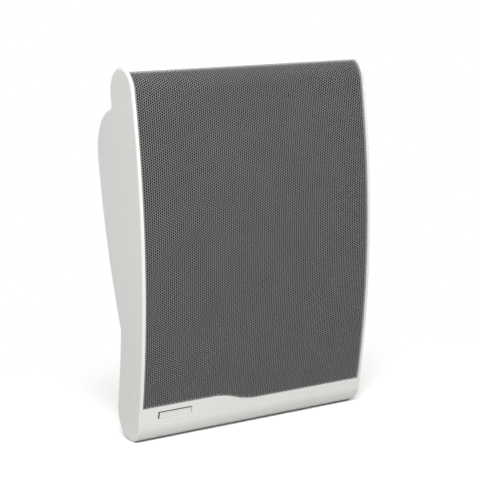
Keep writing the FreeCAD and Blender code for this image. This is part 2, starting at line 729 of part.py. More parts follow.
def make_grille():
    gap = size("grille_gap")
    gauge = size("grille_gauge")
    inset = size("grille_inset")
    width = size("grille_width") - 2 * gap
    front = size("front_radius")
    foot = -math.asin((number(HALF_HEIGHT) - size("chin_height_right") + gauge) / front)
    top = math.radians(size("opening_top_angle")) - gap / number(END_RADIUS)
    grille = curved_sheet(inset, gauge, width, foot, top)

    # side skirts, whose straight back edges stand on the baffle
    back = size("baffle_inset") - gap
    middle = inset + gauge / 2
    rim = number(END_RADIUS) - middle
    skirt_top = math.acos((number(END_Y) - back) / rim)
    edges = front_curve(middle, foot, skirt_top)
    low = edges[0].Vertexes[0].Point
    high = edges[1].Vertexes[1].Point
    corner = V(0, back, low.z)
    edges += [Part.makeLine(high, corner), Part.makeLine(corner, low)]
    skirt = Part.Face(Part.Wire(Part.__sortEdges__(edges))).extrude(V(gauge, 0, 0))
    for start in (-width / 2, width / 2 - gauge):
        side = skirt.copy()
        side.translate(V(start, 0, 0))
        grille = grille.fuse(side)
    grille = grille.cut(chin_tool(gap))

    tools = []
    for x, z in hole_centres(width / 2 - gauge):
        start = V(x, -gauge, z)
        tools.append(prism(HOLE_SIDES, size("hole_radius"), size("baffle_inset"), start, V(0, 1, 0)))
    feature_piece("grille", grille.cut(Part.makeCompound(tools)).removeSplitter())


def make_cloth():
    gap = size("grille_gap")
    inset = number(CLOTH_INSET)
    width = size("grille_width") - 2 * (2 * gap + size("grille_gauge"))
    foot = -math.asin((number(HALF_HEIGHT) - size("chin_height_left")) / size("front_radius"))
    top = math.radians(size("opening_top_angle")) - 2 * gap / number(END_RADIUS)
    sheet_solid = curved_sheet(inset, size("cloth_gauge"), width, foot, top)
    feature_piece("dust_cloth", sheet_solid.cut(chin_tool(2 * gap)))


# Baffle

def driver_screw_points():
    """The four driver screws, on the diagonals, as x and z expressions."""
    arm = "(dims.driver_screw_circle * sqrt(0.5))"
    return [(f"{sx} * {arm}", f"{DRIVER_Z} + {sz} * {arm}") for sx in (-1, 1) for sz in (-1, 1)]


def baffle_screw_points():
    """The six baffle screws, three to a rail, as x and z expressions."""
    return [(f"{side} * {RAIL_SCREW_X}", f"{level} * {RAIL_SCREW_Z}")
            for side in (-1, 1) for level in (-1, 0, 1)]


def make_baffle():
    body = doc.addObject("PartDesign::Body", "baffle")
    sketch = new_sketch(body, "XZ_Plane", back_offset(size("baffle_inset")))
    draw_outline(sketch, centred(f"({HALF_OPENING} - dims.baffle_side_gap)", BAFFLE_HALF_HEIGHT))
    extrude(body, "Pad", sketch, "dims.baffle_gauge", turned=True)
    sketch = new_sketch(body, "XZ_Plane", back_offset(size("baffle_inset")))
    draw_circle(sketch, "0", DRIVER_Z, "dims.cutout_radius")
    for x, z in baffle_screw_points():
        draw_circle(sketch, x, z, HOLE_RADIUS)
    for x, z in driver_screw_points():
        draw_circle(sketch, x, z, PILOT_RADIUS)
    extrude(body, "Pocket", sketch, "dims.baffle_gauge")
    keep(body, "baffle")


# Driver, drawn as radius and depth behind the front of the baffle

def make_frame():
    wall = "(dims.cutout_radius - dims.cutout_gap)"
    gauge = "dims.frame_gauge"
    body = turned_body("driver_frame", [
        ("dims.flange_radius", f"-1 * {gauge}"),
        ("dims.flange_radius", "0"),
        (wall, "0"),
        (wall, "dims.shoulder_depth"),
        ("dims.ledge_outer", f"dims.ledge_depth + {gauge}"),
        ("dims.ledge_inner", f"dims.ledge_depth + {gauge}"),
        (f"dims.ledge_inner - {gauge} / 2", "dims.seat_depth"),
        ("dims.seat_inner", "dims.seat_depth"),
        ("dims.seat_inner", f"dims.seat_depth - {gauge}"),
        (f"dims.ledge_inner - {gauge} * 3 / 2", f"dims.seat_depth - {gauge}"),
        (f"dims.ledge_inner - {gauge}", "dims.ledge_depth"),
        (f"dims.ledge_outer - {gauge} / 2", "dims.ledge_depth"),
        (f"{wall} - {gauge}", f"dims.shoulder_depth - {gauge} / 2"),
        (f"{wall} - {gauge}", f"-1 * {gauge}"),
    ])
    sketch = new_sketch(body, "XY_Plane")
    inner = "dims.window_inner"
    outer = "dims.window_outer"
    for index in range(WINDOWS):
        turn = 360 / WINDOWS * index
        low = f"({turn} - dims.window_half_angle)"
        high = f"({turn} + dims.window_half_angle)"
        draw_outline(sketch, [
            (f"{inner} * cos{low}", f"{inner} * sin{low}"),
            (f"{outer} * cos{low}", f"{outer} * sin{low}", outer, "left"),
            (f"{outer} * cos{high}", f"{outer} * sin{high}"),
            (f"{inner} * cos{high}", f"{inner} * sin{high}", inner, "right"),
        ])
    extrude(body, "Pocket", sketch, "2 * dims.seat_depth", both_ways=True)
    sketch = new_sketch(body, "XY_Plane")
    arm = "(dims.driver_screw_circle * sqrt(0.5))"
    for sx in (-1, 1):
        for sy in (-1, 1):
            draw_circle(sketch, f"{sx} * {arm}", f"{sy} * {arm}", HOLE_RADIUS)
    extrude(body, "Pocket", sketch, "4 * dims.frame_gauge", both_ways=True)
    keep(body, "driver_frame", DRIVER_PLACE)


def make_round_pieces():
    """The plain turned pieces of the driver."""
    gauge = "dims.frame_gauge"
    paper = "dims.paper_gauge"
    neck = NECK_RADIUS
    winding_inner = f"({FORMER_OUTER} + dims.glue_gap / 2)"
    winding_outer = f"({winding_inner} + dims.winding_build)"
    pole = "(dims.coil_inner - dims.pole_gap)"
    cap_edge = "(dims.coil_inner - 3 * dims.glue_gap)"
    cap_depth = "dims.former_front"
    profiles = {
        "driver_gasket": rectangle("dims.gasket_inner", "dims.gasket_outer",
                                   f"-1 * ({gauge} + dims.gasket_depth)", f"-1 * {gauge}"),
        "coil_former": rectangle("dims.coil_inner", FORMER_OUTER,
                                 "dims.former_front", "dims.former_back"),
        "voice_coil": rectangle(winding_inner, winding_outer,
                                "dims.winding_front", "dims.winding_back"),
        "top_plate": rectangle(f"{winding_outer} + dims.plate_bore_gap", "dims.steel_radius",
                               "dims.seat_depth", MAGNET_FRONT),
        "magnet": rectangle("dims.magnet_inner", "dims.magnet_outer", MAGNET_FRONT, YOKE_FRONT),
        "pole_yoke": [
            ("0", "dims.seat_depth"),
            (pole, "dims.seat_depth"),
            (pole, YOKE_FRONT),
            ("dims.steel_radius", YOKE_FRONT),
            ("dims.steel_radius", f"{YOKE_FRONT} + dims.yoke_depth"),
            ("0", f"{YOKE_FRONT} + dims.yoke_depth"),
        ],
        "cone": [
            (neck, "dims.cone_neck_depth"),
            ("dims.cone_radius", "dims.cone_edge_depth"),
            ("dims.cone_radius", f"dims.cone_edge_depth + {paper}"),
            (neck, "dims.cone_neck_depth + dims.neck_gauge"),
        ],
        "whizzer_cone": [
            (neck, "dims.whizzer_neck_depth"),
            ("dims.whizzer_radius", "dims.whizzer_edge_depth"),
            ("dims.whizzer_radius", f"dims.whizzer_edge_depth + {paper}"),
            (neck, "dims.whizzer_neck_depth + dims.neck_gauge"),
        ],
        "dust_cap": [
            ("0", f"{cap_depth} - dims.cap_rise"),
            (f"{cap_edge} / 2", f"{cap_depth} - dims.cap_shoulder_rise"),
            (cap_edge, cap_depth),
            (cap_edge, f"{cap_depth} + {paper}"),
            (f"{cap_edge} / 2", f"{cap_depth} - dims.cap_shoulder_rise + {paper}"),
            ("0", f"{cap_depth} - dims.cap_rise + {paper}"),
        ],
    }
    for label, corners in profiles.items():
        keep(turned_body(label, corners), label, DRIVER_PLACE)


def make_surround():
    """A half roll from the cone's edge to a land on the frame's flange."""
    steps = 6
    gap = "dims.grille_gap"
    base = "-1 * (dims.frame_gauge + dims.glue_gap)"
    inner = f"(dims.cone_radius + {gap})"
    middle = f"({inner} + dims.roll_radius)"
    outside = []
    inside = []
    for index in range(steps + 1):
        angle = 180 - 180 * index / steps
        for path, radius in ((outside, "dims.roll_radius"),
                             (inside, "(dims.roll_radius - dims.roll_gauge)")):
            path.append((f"{middle} + {radius} * cos({angle})",
                         f"{base} - dims.roll_gauge - {radius} * sin({angle})"))
    foot_depth = f"{base} + dims.roll_foot"
    land = f"{middle} + dims.roll_radius + dims.roll_land"
    corners = [(inner, foot_depth)] + outside
    corners += [(land, f"{base} - dims.roll_gauge"), (land, base)]
    corners += [(f"{middle} + dims.roll_radius - dims.roll_gauge", base)]
    corners += inside[::-1]
    corners += [(f"{inner} + dims.roll_gauge", foot_depth)]
    keep(turned_body("surround", corners), "surround", DRIVER_PLACE)


def make_spider():
    """A corrugated ring from the coil former to the ledge of the frame."""
    waves = 6
    start = f"({NECK_RADIUS} + dims.spider_neck)"
    run = f"((dims.spider_land - {start}) / {waves})"
    land_depth = "(dims.ledge_depth - dims.glue_gap - dims.spider_gauge)"
    front = [(NECK_RADIUS, "dims.spider_depth"), (start, "dims.spider_depth")]
    for index in range(1, waves):
        side = 1 if index % 2 else -1
        front.append((f"{start} + {index} * {run}",
                      f"dims.spider_depth + {side} * dims.spider_wave"))
    front.append(("dims.spider_land", land_depth))
    front.append(("dims.ledge_outer - dims.frame_gauge", land_depth))
    back = [(radius, f"{depth} + dims.spider_gauge") for radius, depth in reversed(front)]
    keep(turned_body("spider", front + back), "spider", DRIVER_PLACE)


# Connections

def box_at(low, high):
    """A box between two corners."""
    return Part.makeBox(high.x - low.x, high.y - low.y, high.z - low.z, low)


def tag_columns():
    """The x places of the two connections."""
    return (-size("tag_spacing") / 2, size("tag_spacing") / 2)


def make_tags():
    board_half = size("tag_board_width") / 2
    front = size("ledge_depth") + size("frame_gauge")
    back = front + size("tag_board_gauge")
    low_y = size("ledge_inner") + size("frame_gauge")
    board = box_at(V(-board_half, low_y, front), V(board_half, low_y + size("tag_board_height"), back))
    feature_piece("tag_board", board, DRIVER_PLACE)
    half = size("tag_width") / 2
    tags = []
    for x in tag_columns():
        tags.append(box_at(V(x - half, low_y, back),
                           V(x + half, low_y + size("tag_length"), back + size("tag_gauge"))))
    feature_piece("solder_tags", Part.makeCompound(tags), DRIVER_PLACE)

    # flexible leads from the tags, through the frame's window, to the back of the cone
    flex = size("flex_radius")
    tip_y = low_y + size("tag_length") - half
    tag_depth = back - flex - size("glue_gap")
    cone_slope = (size("cone_neck_depth") - size("cone_edge_depth")) / (
        size("cone_radius") - number(NECK_RADIUS))
    cone_y = size("flex_reach")
    flexes = []
    for x in tag_columns():
        radius = math.hypot(x, cone_y)
        cone_depth = size("cone_neck_depth") - cone_slope * (radius - number(NECK_RADIUS))
        start = V(x, tip_y, tag_depth)
        stop = V(x, cone_y, cone_depth + size("neck_gauge") + flex + size("pivot_gap"))
        run = stop - start
        flexes.append(prism(ROUND_SIDES, flex, run.Length, start, run))
    feature_piece("flex_leads", Part.makeCompound(flexes), DRIVER_PLACE)


def make_lead(label, x):
    """An insulated lead from a terminal's contact up to a solder tag."""
    radius = size("lead_radius")
    contact_z = number(TERMINAL_Z) + size("contact_width") / 2
    contact_y = number(TERMINAL_SEAT) - number(TAIL_REACH) + radius
    tag_y = (size("baffle_inset") + size("ledge_depth") + size("frame_gauge")
             + size("tag_board_gauge") + size("tag_gauge") + radius + size("glue_gap"))
    tag_low = number(DRIVER_Z) - size("ledge_inner") - size("frame_gauge") - size("tag_length")
    bend = min(size("terminal_height"), BEND_RUN * (tag_low - contact_z))
    points = [
        V(x, contact_y, contact_z),
        V(x, contact_y, contact_z + bend),
        V(x, tag_y, tag_low - bend / 2),
        V(x, tag_y, tag_low + size("tag_length") / 2),
    ]
    edges = []
    start = points[0]
    for before, corner, after in zip(points, points[1:], points[2:]):
        arriving = (corner - before).normalize()
        leaving = (after - corner).normalize()
        turn = arriving.getAngle(leaving)
        shorter = min((corner - before).Length, (after - corner).Length)
        setback = BEND_SHARE * shorter
        arc_start = corner - arriving * setback
        arc_stop = corner + leaving * setback
        inward = (leaving - arriving).normalize()
        sag = setback * math.cos(turn / 2) * math.tan(turn / 4)
        middle = (arc_start + arc_stop) * 0.5 - inward * sag
        edges.append(Part.makeLine(start, arc_start))
        edges.append(Part.Arc(arc_start, middle, arc_stop).toShape())
        start = arc_stop
    edges.append(Part.makeLine(start, points[-1]))
    path = Part.Wire(edges)
    section = Part.Wire(Part.makeCircle(radius, points[0], V(0, 0, 1)))
    tube = path.makePipeShell([section], True, False)
    feature_piece(label, tube)


# Push terminals

def terminal_point(y, z):
    """A point by its distance behind the seat and its height above the terminals' middle."""
    return V(0, number(TERMINAL_SEAT) + y, number(TERMINAL_Z) + z)


def make_terminal_cup():
    body = doc.addObject("PartDesign::Body", "terminal_cup")
    seat = number(TERMINAL_SEAT)
    sketch = new_sketch(body, "XZ_Plane", back_offset(seat))
    draw_outline(sketch, centred("dims.terminal_width / 2", "dims.terminal_height / 2",
                                 "0", TERMINAL_Z))
    extrude(body, "Pad", sketch, "dims.terminal_flange", turned=True)
    sketch = new_sketch(body, "XZ_Plane", back_offset(seat))
    draw_outline(sketch, centred(CUP_HALF_WIDTH, CUP_HALF_HEIGHT, "0", TERMINAL_Z))
    extrude(body, "Pad", sketch, "dims.cup_depth")
    sketch = new_sketch(body, "XZ_Plane", back_offset(seat - size("bay_depth")))
    for sign in ("-1", "1"):
        draw_outline(sketch, centred("dims.bay_width / 2", "dims.bay_height / 2",
                                     f"{sign} * {BAY_X}", TERMINAL_Z))
    extrude(body, "Pocket", sketch, "2 * dims.bay_depth")
    sketch = new_sketch(body, "XZ_Plane", back_offset(seat - 2 * size("bay_depth")))
    slot_z = f"{TERMINAL_Z} + dims.contact_width / 2 - dims.contact_gauge / 2"
    for sign in ("-1", "1"):
        draw_outline(sketch, centred("(dims.contact_width / 2 + dims.pivot_gap)",
                                     "(dims.contact_gauge / 2 + dims.pivot_gap)",
                                     f"{sign} * {BAY_X}", slot_z))
        draw_circle(sketch, f"{sign} * dims.terminal_screw_spacing / 2", TERMINAL_Z, HOLE_RADIUS)
    extrude(body, "Pocket", sketch, "3 * dims.bay_depth")
    sketch = new_sketch(body, "YZ_Plane")
    draw_circle(sketch, f"{TERMINAL_SEAT} - dims.pivot_sink",
                f"{TERMINAL_Z} - dims.pivot_drop", "dims.pivot_radius + dims.pivot_gap")
    extrude(body, "Pocket", sketch,
            "dims.bay_spacing + dims.bay_width + 2 * (dims.pivot_reach + dims.pivot_gap)",
            both_ways=True)
    keep(body, "terminal_cup")


def make_lever(label, sign):
    """A rocking lever with stub pivots, and a window for the bare wire."""
    body = doc.addObject("PartDesign::Body", label)
    heel = "(dims.bay_height / 2 - dims.lever_end_gap)"
    middle = FreeCAD.Placement(V(0, 0, sign * number(BAY_X)), FreeCAD.Rotation())
    sketch = new_sketch(body, "YZ_Plane", middle)
    seat = TERMINAL_SEAT
    draw_outline(sketch, [
        (f"{seat} - dims.pivot_sink - dims.lever_back", f"{TERMINAL_Z} - {heel}"),
        (f"{seat} - dims.pivot_sink + dims.lever_heel", f"{TERMINAL_Z} - {heel}"),
        (f"{seat} + dims.terminal_flange + dims.lever_proud",
         f"{TERMINAL_Z} + {LEVER_TIP} - dims.lever_lip"),
        (f"{seat} + dims.terminal_flange + dims.lever_proud", f"{TERMINAL_Z} + {LEVER_TIP}"),
        (f"{seat} - dims.lever_tip_sink", f"{TERMINAL_Z} + {LEVER_TIP}"),
        (f"{seat} - dims.pivot_sink - dims.lever_back",
         f"{TERMINAL_Z} - dims.pivot_drop + dims.lever_root_rise"),
    ])
    extrude(body, "Pad", sketch, "dims.bay_width - 2 * dims.lever_side_gap", both_ways=True)
    sketch = new_sketch(body, "YZ_Plane", middle)
    draw_circle(sketch, f"{seat} - dims.pivot_sink", f"{TERMINAL_Z} - dims.pivot_drop",
                "dims.pivot_radius")
    extrude(body, "Pad", sketch, "dims.bay_width + 2 * dims.pivot_reach", both_ways=True)
    sketch = new_sketch(body, "XZ_Plane", back_offset(number(TERMINAL_SEAT)))
    draw_outline(sketch, centred("dims.wire_window / 2", "dims.wire_window / 2",
                                 f"{sign} * {BAY_X}", f"{TERMINAL_Z} - dims.wire_window_drop"))
    extrude(body, "Pocket", sketch, "4 * dims.bay_depth", both_ways=True)
    keep(body, label)


def make_contact(label, x):
    """A springy contact strip: a solder tail through the cup's floor and a leaf behind the lever."""
    gauge = size("contact_gauge")
    tail_z = size("contact_width") / 2
    floor = -size("bay_depth")
    tip = -number(TAIL_REACH)
    lever_tip = number(LEVER_TIP)
    root_y = -size("pivot_sink") - size("lever_back")
    root_z = size("lever_root_rise") - size("pivot_drop")
    lean = (-size("lever_tip_sink") - root_y) / (lever_tip - root_z)
    leaf_z = lever_tip - size("leaf_tip_drop")
    leaf_y = root_y + lean * (leaf_z - root_z) - size("leaf_gap")
    corners = [
        terminal_point(tip, tail_z - gauge),
        terminal_point(floor + gauge, tail_z - gauge),
        terminal_point(leaf_y, leaf_z),
        terminal_point(leaf_y - gauge, leaf_z + gauge),
        terminal_point(floor, tail_z),
        terminal_point(tip, tail_z),
    ]
    side = V(x - size("contact_width") / 2, 0, 0)
    corners = [corner + side for corner in corners]
    strip = Part.Face(Part.makePolygon(corners + corners[:1]))
    feature_piece(label, strip.extrude(V(size("contact_width"), 0, 0)))


# Keyhole plate

def make_hanger():
    body = doc.addObject("PartDesign::Body", "hanger_plate")
    sketch = new_sketch(body, "XZ_Plane")
    draw_outline(sketch, centred("dims.hanger_width / 2", "dims.hanger_height / 2"))
    extrude(body, "Pad", sketch, "dims.hanger_gauge")
    sketch = new_sketch(body, "XZ_Plane")
    for sign in ("-1", "1"):
        x = f"({sign} * dims.keyhole_spacing / 2)"
        draw_circle(sketch, x, "0", "dims.keyhole_radius")
    for x in ("-1 * dims.hanger_screw_x", "dims.hanger_screw_x"):
        for z in ("-1 * dims.hanger_screw_z", "dims.hanger_screw_z"):
            draw_circle(sketch, x, z, HOLE_RADIUS)
    extrude(body, "Pocket", sketch, "4 * dims.hanger_gauge", both_ways=True)
    sketch = new_sketch(body, "XZ_Plane")
    slot = "dims.keyhole_slot"
    for sign in ("-1", "1"):
        x = f"({sign} * dims.keyhole_spacing / 2)"
        draw_outline(sketch, [
            (f"{x} - {slot}", "0"),
            (f"{x} + {slot}", "0"),
            (f"{x} + {slot}", "dims.keyhole_rise", slot, "left"),
            (x, f"dims.keyhole_rise + {slot}", slot, "left"),
            (f"{x} - {slot}", "dims.keyhole_rise"),
        ])
    extrude(body, "Pocket", sketch, "4 * dims.hanger_gauge", both_ways=True)
    front = FreeCAD.Placement(V(0, size("hanger_gauge") - size("hanger_sunk"), 0), FreeCAD.Rotation())
    keep(body, "hanger_plate", ON_WALL.multiply(front))


# Screws, each group in one node

def screw(head_height, length, seat, direction):
    """A round-headed screw: its head stands on seat and its shank runs along direction."""
    along = V(direction).normalize()
    head = prism(ROUND_SIDES, size("screw_head_radius"), head_height, seat - along * head_height, along)
    shank = prism(ROUND_SIDES, size("screw_shank_radius"), length, seat, along)
    return head.fuse(shank).removeSplitter()


def make_screws():
    back = V(0, 1, 0)
    head = size("screw_head_height")
    front = size("baffle_inset")
    screws = []
    for x, z in baffle_screw_points():
        screws.append(screw(head, size("screw_length"), V(number(x), front, number(z)), back))
    feature_piece("baffle_screws", Part.makeCompound(screws))

    screws = []
    flange = front - size("frame_gauge")
    for x, z in driver_screw_points():
        seat = V(number(x), flange, number(z))
        screws.append(screw(head, size("driver_screw_length"), seat, back))
    feature_piece("driver_screws", Part.makeCompound(screws))

    screws = []
    for sign in (-1, 1):
        seat = terminal_point(size("terminal_flange"), 0)
        seat.x = sign * size("terminal_screw_spacing") / 2
        screws.append(screw(head, size("terminal_screw_length"), seat, back * -1))
    feature_piece("terminal_screws", Part.makeCompound(screws))

    screws = []
    rear = size("hanger_gauge") - size("hanger_sunk")
    for x in (-1, 1):
        for z in (-1, 1):
            seat = V(x * size("hanger_screw_x"), rear, z * size("hanger_screw_z"))
            screws.append(screw(size("hanger_screw_height"), size("hanger_screw_length"),
                                seat, back * -1))
    feature_piece("hanger_screws", Part.makeCompound(screws), ON_WALL)


def build():
    make_cabinet()
    make_nameplate()
    make_grille()
    make_cloth()
    make_baffle()
    make_frame()
    make_round_pieces()
    make_surround()
    make_spider()
    make_tags()
    make_terminal_cup()
    for label, sign in (("red", -1), ("black", 1)):
        make_lever(f"lever_{label}", sign)
        make_contact(f"contact_{label}", sign * number(BAY_X))
        make_lead(f"lead_{label}", sign * size("tag_spacing") / 2)
    make_hanger()
    make_screws()


def check():
    """Stops on any failed object or broken shape."""
    doc.recompute()
    for thing in doc.Objects:
        if {"Invalid", "Error"} & set(thing.State):
            raise RuntimeError(f"{thing.Name} failed: {thing.State}")
    for piece in pieces:
        if piece.Shape.isNull() or not piece.Shape.isValid():
            raise RuntimeError(f"{piece.Label} has a broken shape")


def export():
    os.makedirs("parts", exist_ok=True)
    for piece in pieces:
        piece.Shape.exportStep(f"parts/{piece.Label}.step")


build()
check()
export()
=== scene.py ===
"""Wall speaker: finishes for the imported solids, a perforated grille, a stretched cloth and fittings.

The file is laid out as an add-on. Sizes and colours are properties, each piece or group of like
pieces has an operator, and main() calls the operators in order.
"""
import json
import math

import bmesh
import bpy
from bpy.props import FloatProperty, FloatVectorProperty, PointerProperty
from mathutils import Matrix, Quaternion, Vector


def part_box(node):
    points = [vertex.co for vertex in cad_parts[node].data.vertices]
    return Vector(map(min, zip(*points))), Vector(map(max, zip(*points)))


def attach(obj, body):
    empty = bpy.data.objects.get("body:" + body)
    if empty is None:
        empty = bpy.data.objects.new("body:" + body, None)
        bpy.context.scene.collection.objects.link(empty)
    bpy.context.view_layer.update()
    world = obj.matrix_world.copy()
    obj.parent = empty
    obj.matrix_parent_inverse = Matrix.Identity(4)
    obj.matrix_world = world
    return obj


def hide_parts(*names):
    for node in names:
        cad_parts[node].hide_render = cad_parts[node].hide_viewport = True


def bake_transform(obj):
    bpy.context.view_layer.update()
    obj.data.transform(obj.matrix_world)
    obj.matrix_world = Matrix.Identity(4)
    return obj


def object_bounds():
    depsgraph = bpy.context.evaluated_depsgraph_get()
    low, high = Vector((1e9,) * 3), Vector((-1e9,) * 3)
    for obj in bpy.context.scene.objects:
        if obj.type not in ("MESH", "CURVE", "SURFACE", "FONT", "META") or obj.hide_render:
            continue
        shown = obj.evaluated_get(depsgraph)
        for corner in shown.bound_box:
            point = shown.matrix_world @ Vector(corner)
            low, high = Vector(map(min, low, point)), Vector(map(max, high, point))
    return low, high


bl_info = {
    "name": "Wall Speaker",
    "version": (1, 0, 0),
    "blender": (4, 5, 0),
    "location": "View3D > Sidebar > Speaker",
    "description": "Finishes, grille, cloth, plate, terminals and screws of a wall speaker",
    "category": "Object",
}

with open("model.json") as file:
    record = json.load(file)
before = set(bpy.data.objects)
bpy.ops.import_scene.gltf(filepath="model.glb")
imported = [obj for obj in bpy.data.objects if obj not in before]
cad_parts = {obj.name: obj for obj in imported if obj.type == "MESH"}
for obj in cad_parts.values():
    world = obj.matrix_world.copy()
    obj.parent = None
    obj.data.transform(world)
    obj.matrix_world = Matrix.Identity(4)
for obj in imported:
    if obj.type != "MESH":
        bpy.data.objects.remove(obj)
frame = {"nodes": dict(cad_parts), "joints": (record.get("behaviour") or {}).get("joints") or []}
CAD_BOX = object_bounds()
MM = 0.001
FRAME_SIDE = 480
SENSOR = 36.0
WELD = 0.001 * MM
TILE_WELD = 0.01 * MM
SPECK_AREA = WELD * MM
WALL_FIT = 0.05 * MM
SHARP = math.radians(30)
FLAT = math.radians(1)
HEX_FLAT = math.cos(math.pi / 6)
WARM = (1.0, 0.985, 0.96)
WHITE = (1.0, 1.0, 1.0, 1.0)

GRILLE_BANDS = 4
SPARE_COLUMNS, SPARE_ROWS = 3, 5
SKIRT_STEPS = 48
CLOTH_COLUMNS, CLOTH_ROWS = 97, 135
BEVEL_STEPS = 2
RING_LAND = 0.2
HEAD_STEPS, SCREW_STEPS = 6, 24
HEAD_WALL, RECESS_DEPTH = 0.35, 0.75
PAN_HEAD, LOW_HEAD = 1.8 * MM, 1.0 * MM

# The slab leans in the wall frame: the cone travels square to it, and the baffle lies in it

CONE_AXIS = Vector(next(joint["axis"] for joint in frame["joints"] if joint["name"] == "cone_travel"))
LEAN = math.atan2(-CONE_AXIS.z, -CONE_AXIS.y)
BAFFLE_MIDDLE = 21 * MM
SLAB_TURN = Matrix.Rotation(LEAN, 4, "X")
BAFFLE_CENTRE = sum((Vector(corner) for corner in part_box("baffle")), Vector()) / 2
SLAB_ORIGIN = BAFFLE_CENTRE - SLAB_TURN @ Vector((0, BAFFLE_MIDDLE, 0))
SLAB_PLACE = Matrix.Translation(SLAB_ORIGIN) @ SLAB_TURN


def length(name, description, default):
    """A size in metres, written in millimetres."""
    return FloatProperty(name=name, description=description, default=default * MM, unit="LENGTH",
                         precision=5)


def turn(name, description, default):
    """An angle, written in degrees."""
    return FloatProperty(name=name, description=description, default=math.radians(default),
                         subtype="ANGLE")


def colour(name, description, *default):
    """A linear colour."""
    return FloatVectorProperty(name=name, description=description, default=default, subtype="COLOR",
                               size=3, min=0.0, max=1.0)


def place(name, description, *default):
    """A point in the wall frame."""
    return FloatVectorProperty(name=name, description=description, default=default,
                               subtype="TRANSLATION", size=3)


def power(name, description, default):
    """A lamp's power in watts."""
    return FloatProperty(name=name, description=description, default=default, unit="POWER")


def amount(name, description, default):
    """A plain number."""
    return FloatProperty(name=name, description=description, default=default)


class SpeakerSizes(bpy.types.PropertyGroup):
    """Sizes of the pieces, from the same drawing as the solids."""
    front_radius: length("Front Radius", "Radius of the bent front", 695)
    slab_depth: length("Slab Depth", "Thickness of the slab", 41.6)
    body_height: length("Body Height", "Height of the slab", 297.2)
    opening_angle: turn("Opening Angle", "Where the opening ends on the top round", 62)
    opening_width: length("Opening Width", "Width between the rims", 202.4)
    solid_round: length("Solid Round", "Round of the solid's side edges", 2.5)
    edge_round: length("Edge Round", "How wide the side edges' round is drawn", 1.2)
    chin_left: length("Chin Left", "Chin height at the left", 32.7)
    chin_right: length("Chin Right", "Chin height at the right", 25.0)
    step_left: length("Step Left", "Where the chin's step begins", -38.6)
    step_right: length("Step Right", "Where the chin's step ends", 2.4)
    grille_inset: length("Grille Inset", "How far the grille lies below the rims", 1.2)
    grille_gauge: length("Grille Gauge", "Room for the grille's sheet", 1.0)
    sheet_gauge: length("Sheet Gauge", "Thickness of the perforated sheet", 0.4)
    grille_gap: length("Grille Gap", "Gap round the grille", 0.3)
    skirt_back: length("Skirt Back", "Depth of the side skirts' back edges", 17.7)
    hole_pitch: length("Hole Pitch", "Distance between neighbouring holes", 2.0)
    hole_radius: length("Hole Radius", "Radius to a hole's corners", 0.9)
    side_margin: length("Side Margin", "Plain border at the sides", 0.25)
    end_margin: length("End Margin", "Plain border at the top and the chin", 0.25)
    cloth_gauge: length("Cloth Gauge", "Thickness of the dust cloth", 0.5)
    plate_bevel: length("Plate Bevel", "Bevel on the blank plate", 0.15)
    plate_rim: length("Plate Rim", "Width of the blank plate's raised rim", 0.45)
    plate_sink: length("Plate Sink", "Depth of the blank plate's field", 0.12)
    # Width of the painted shadow: a dark line along the blank plate's upper and left edges
    plate_shadow_line: length("Plate Shadow Line", "Width of the dark line on the blank plate", 1.1)
    lever_bevel: length("Lever Bevel", "Bevel on the terminal levers", 0.3)
    head_radius: length("Head Radius", "Radius of the screw heads", 3.0)
    shank_radius: length("Shank Radius", "Radius of the screw shanks", 1.35)
    recess_width: length("Recess Width", "Width of a screw's cross recess", 0.75)
    recess_length: length("Recess Length", "Length of a screw's cross recess", 3.4)


class SpeakerColours(bpy.types.PropertyGroup):
    """Main colours of the finishes."""
    cabinet: colour("Cabinet", "Moulded cabinet", 0.80, 0.80, 0.79)
    grille: colour("Grille", "Painted grille", 0.194, 0.198, 0.203)
    plate: colour("Plate", "Blank plate", 0.80, 0.80, 0.79)
    cloth: colour("Cloth", "Dust cloth", 0.006, 0.006, 0.0065)
    red: colour("Red", "Red lever and lead", 0.42, 0.016, 0.014)
    black: colour("Black", "Black plastic and paint", 0.018, 0.018, 0.019)
    zinc: colour("Zinc", "Plated steel", 0.56, 0.57, 0.58)
    paper: colour("Paper", "Cone paper", 0.035, 0.034, 0.033)


class SpeakerStage(bpy.types.PropertyGroup):
    """Floor, light and camera."""
    camera_place: place("Camera", "Where the camera stands", -0.5076, -0.98129, 0.05664)
    camera_aim: place("Aim", "What the camera and the lamps look at", 0.0008, -0.03435, -0.05928)
    camera_roll: turn("Roll", "Turn of the camera about its own axis", -3.9)
    camera_focus: amount("Focal Length", "Focal length in pixels of the frame", 1329.26)
    floor_size: length("Floor Size", "Side of the floor", 900)
    floor_shown: amount("Floor Shown", "How bright the lit floor shows", 1.4)
    floor_near: length("Floor Near", "How far from the speaker the floor shows in full", 130)
    floor_far: length("Floor Far", "How far from the speaker the floor has faded to white", 340)
    floor_tone: amount("Floor Tone", "How much light the floor throws back", 0.70)
    sky_bright: amount("Bright Sky", "Light from the studio's bright side", 0.43)
    sky_dim: amount("Dim Sky", "Light from the studio's dim side", 0.04)
    sky_side: place("Sky Side", "Where the studio is brightest", -0.8, -0.45, 0.45)
    lamp_side: length("Lamp Side", "Side of the square lamps", 600)
    key_place: place("Key Place", "Soft lamp above the front, to the left", -0.37, -0.79, 0.66)
    key_power: power("Key Power", "Power of the lamp above the front", 13.4)
    back_place: place("Back Place", "Soft lamp behind, for the floor", 0.9, 0.5, 0.35)
    back_power: power("Back Power", "Power of the lamp behind", 3.0)


# Node trees in short form

SIGNS = {"+": "ADD", "-": "SUBTRACT", "*": "MULTIPLY", "/": "DIVIDE", "<": "LESS_THAN",
         ">": "GREATER_THAN"}


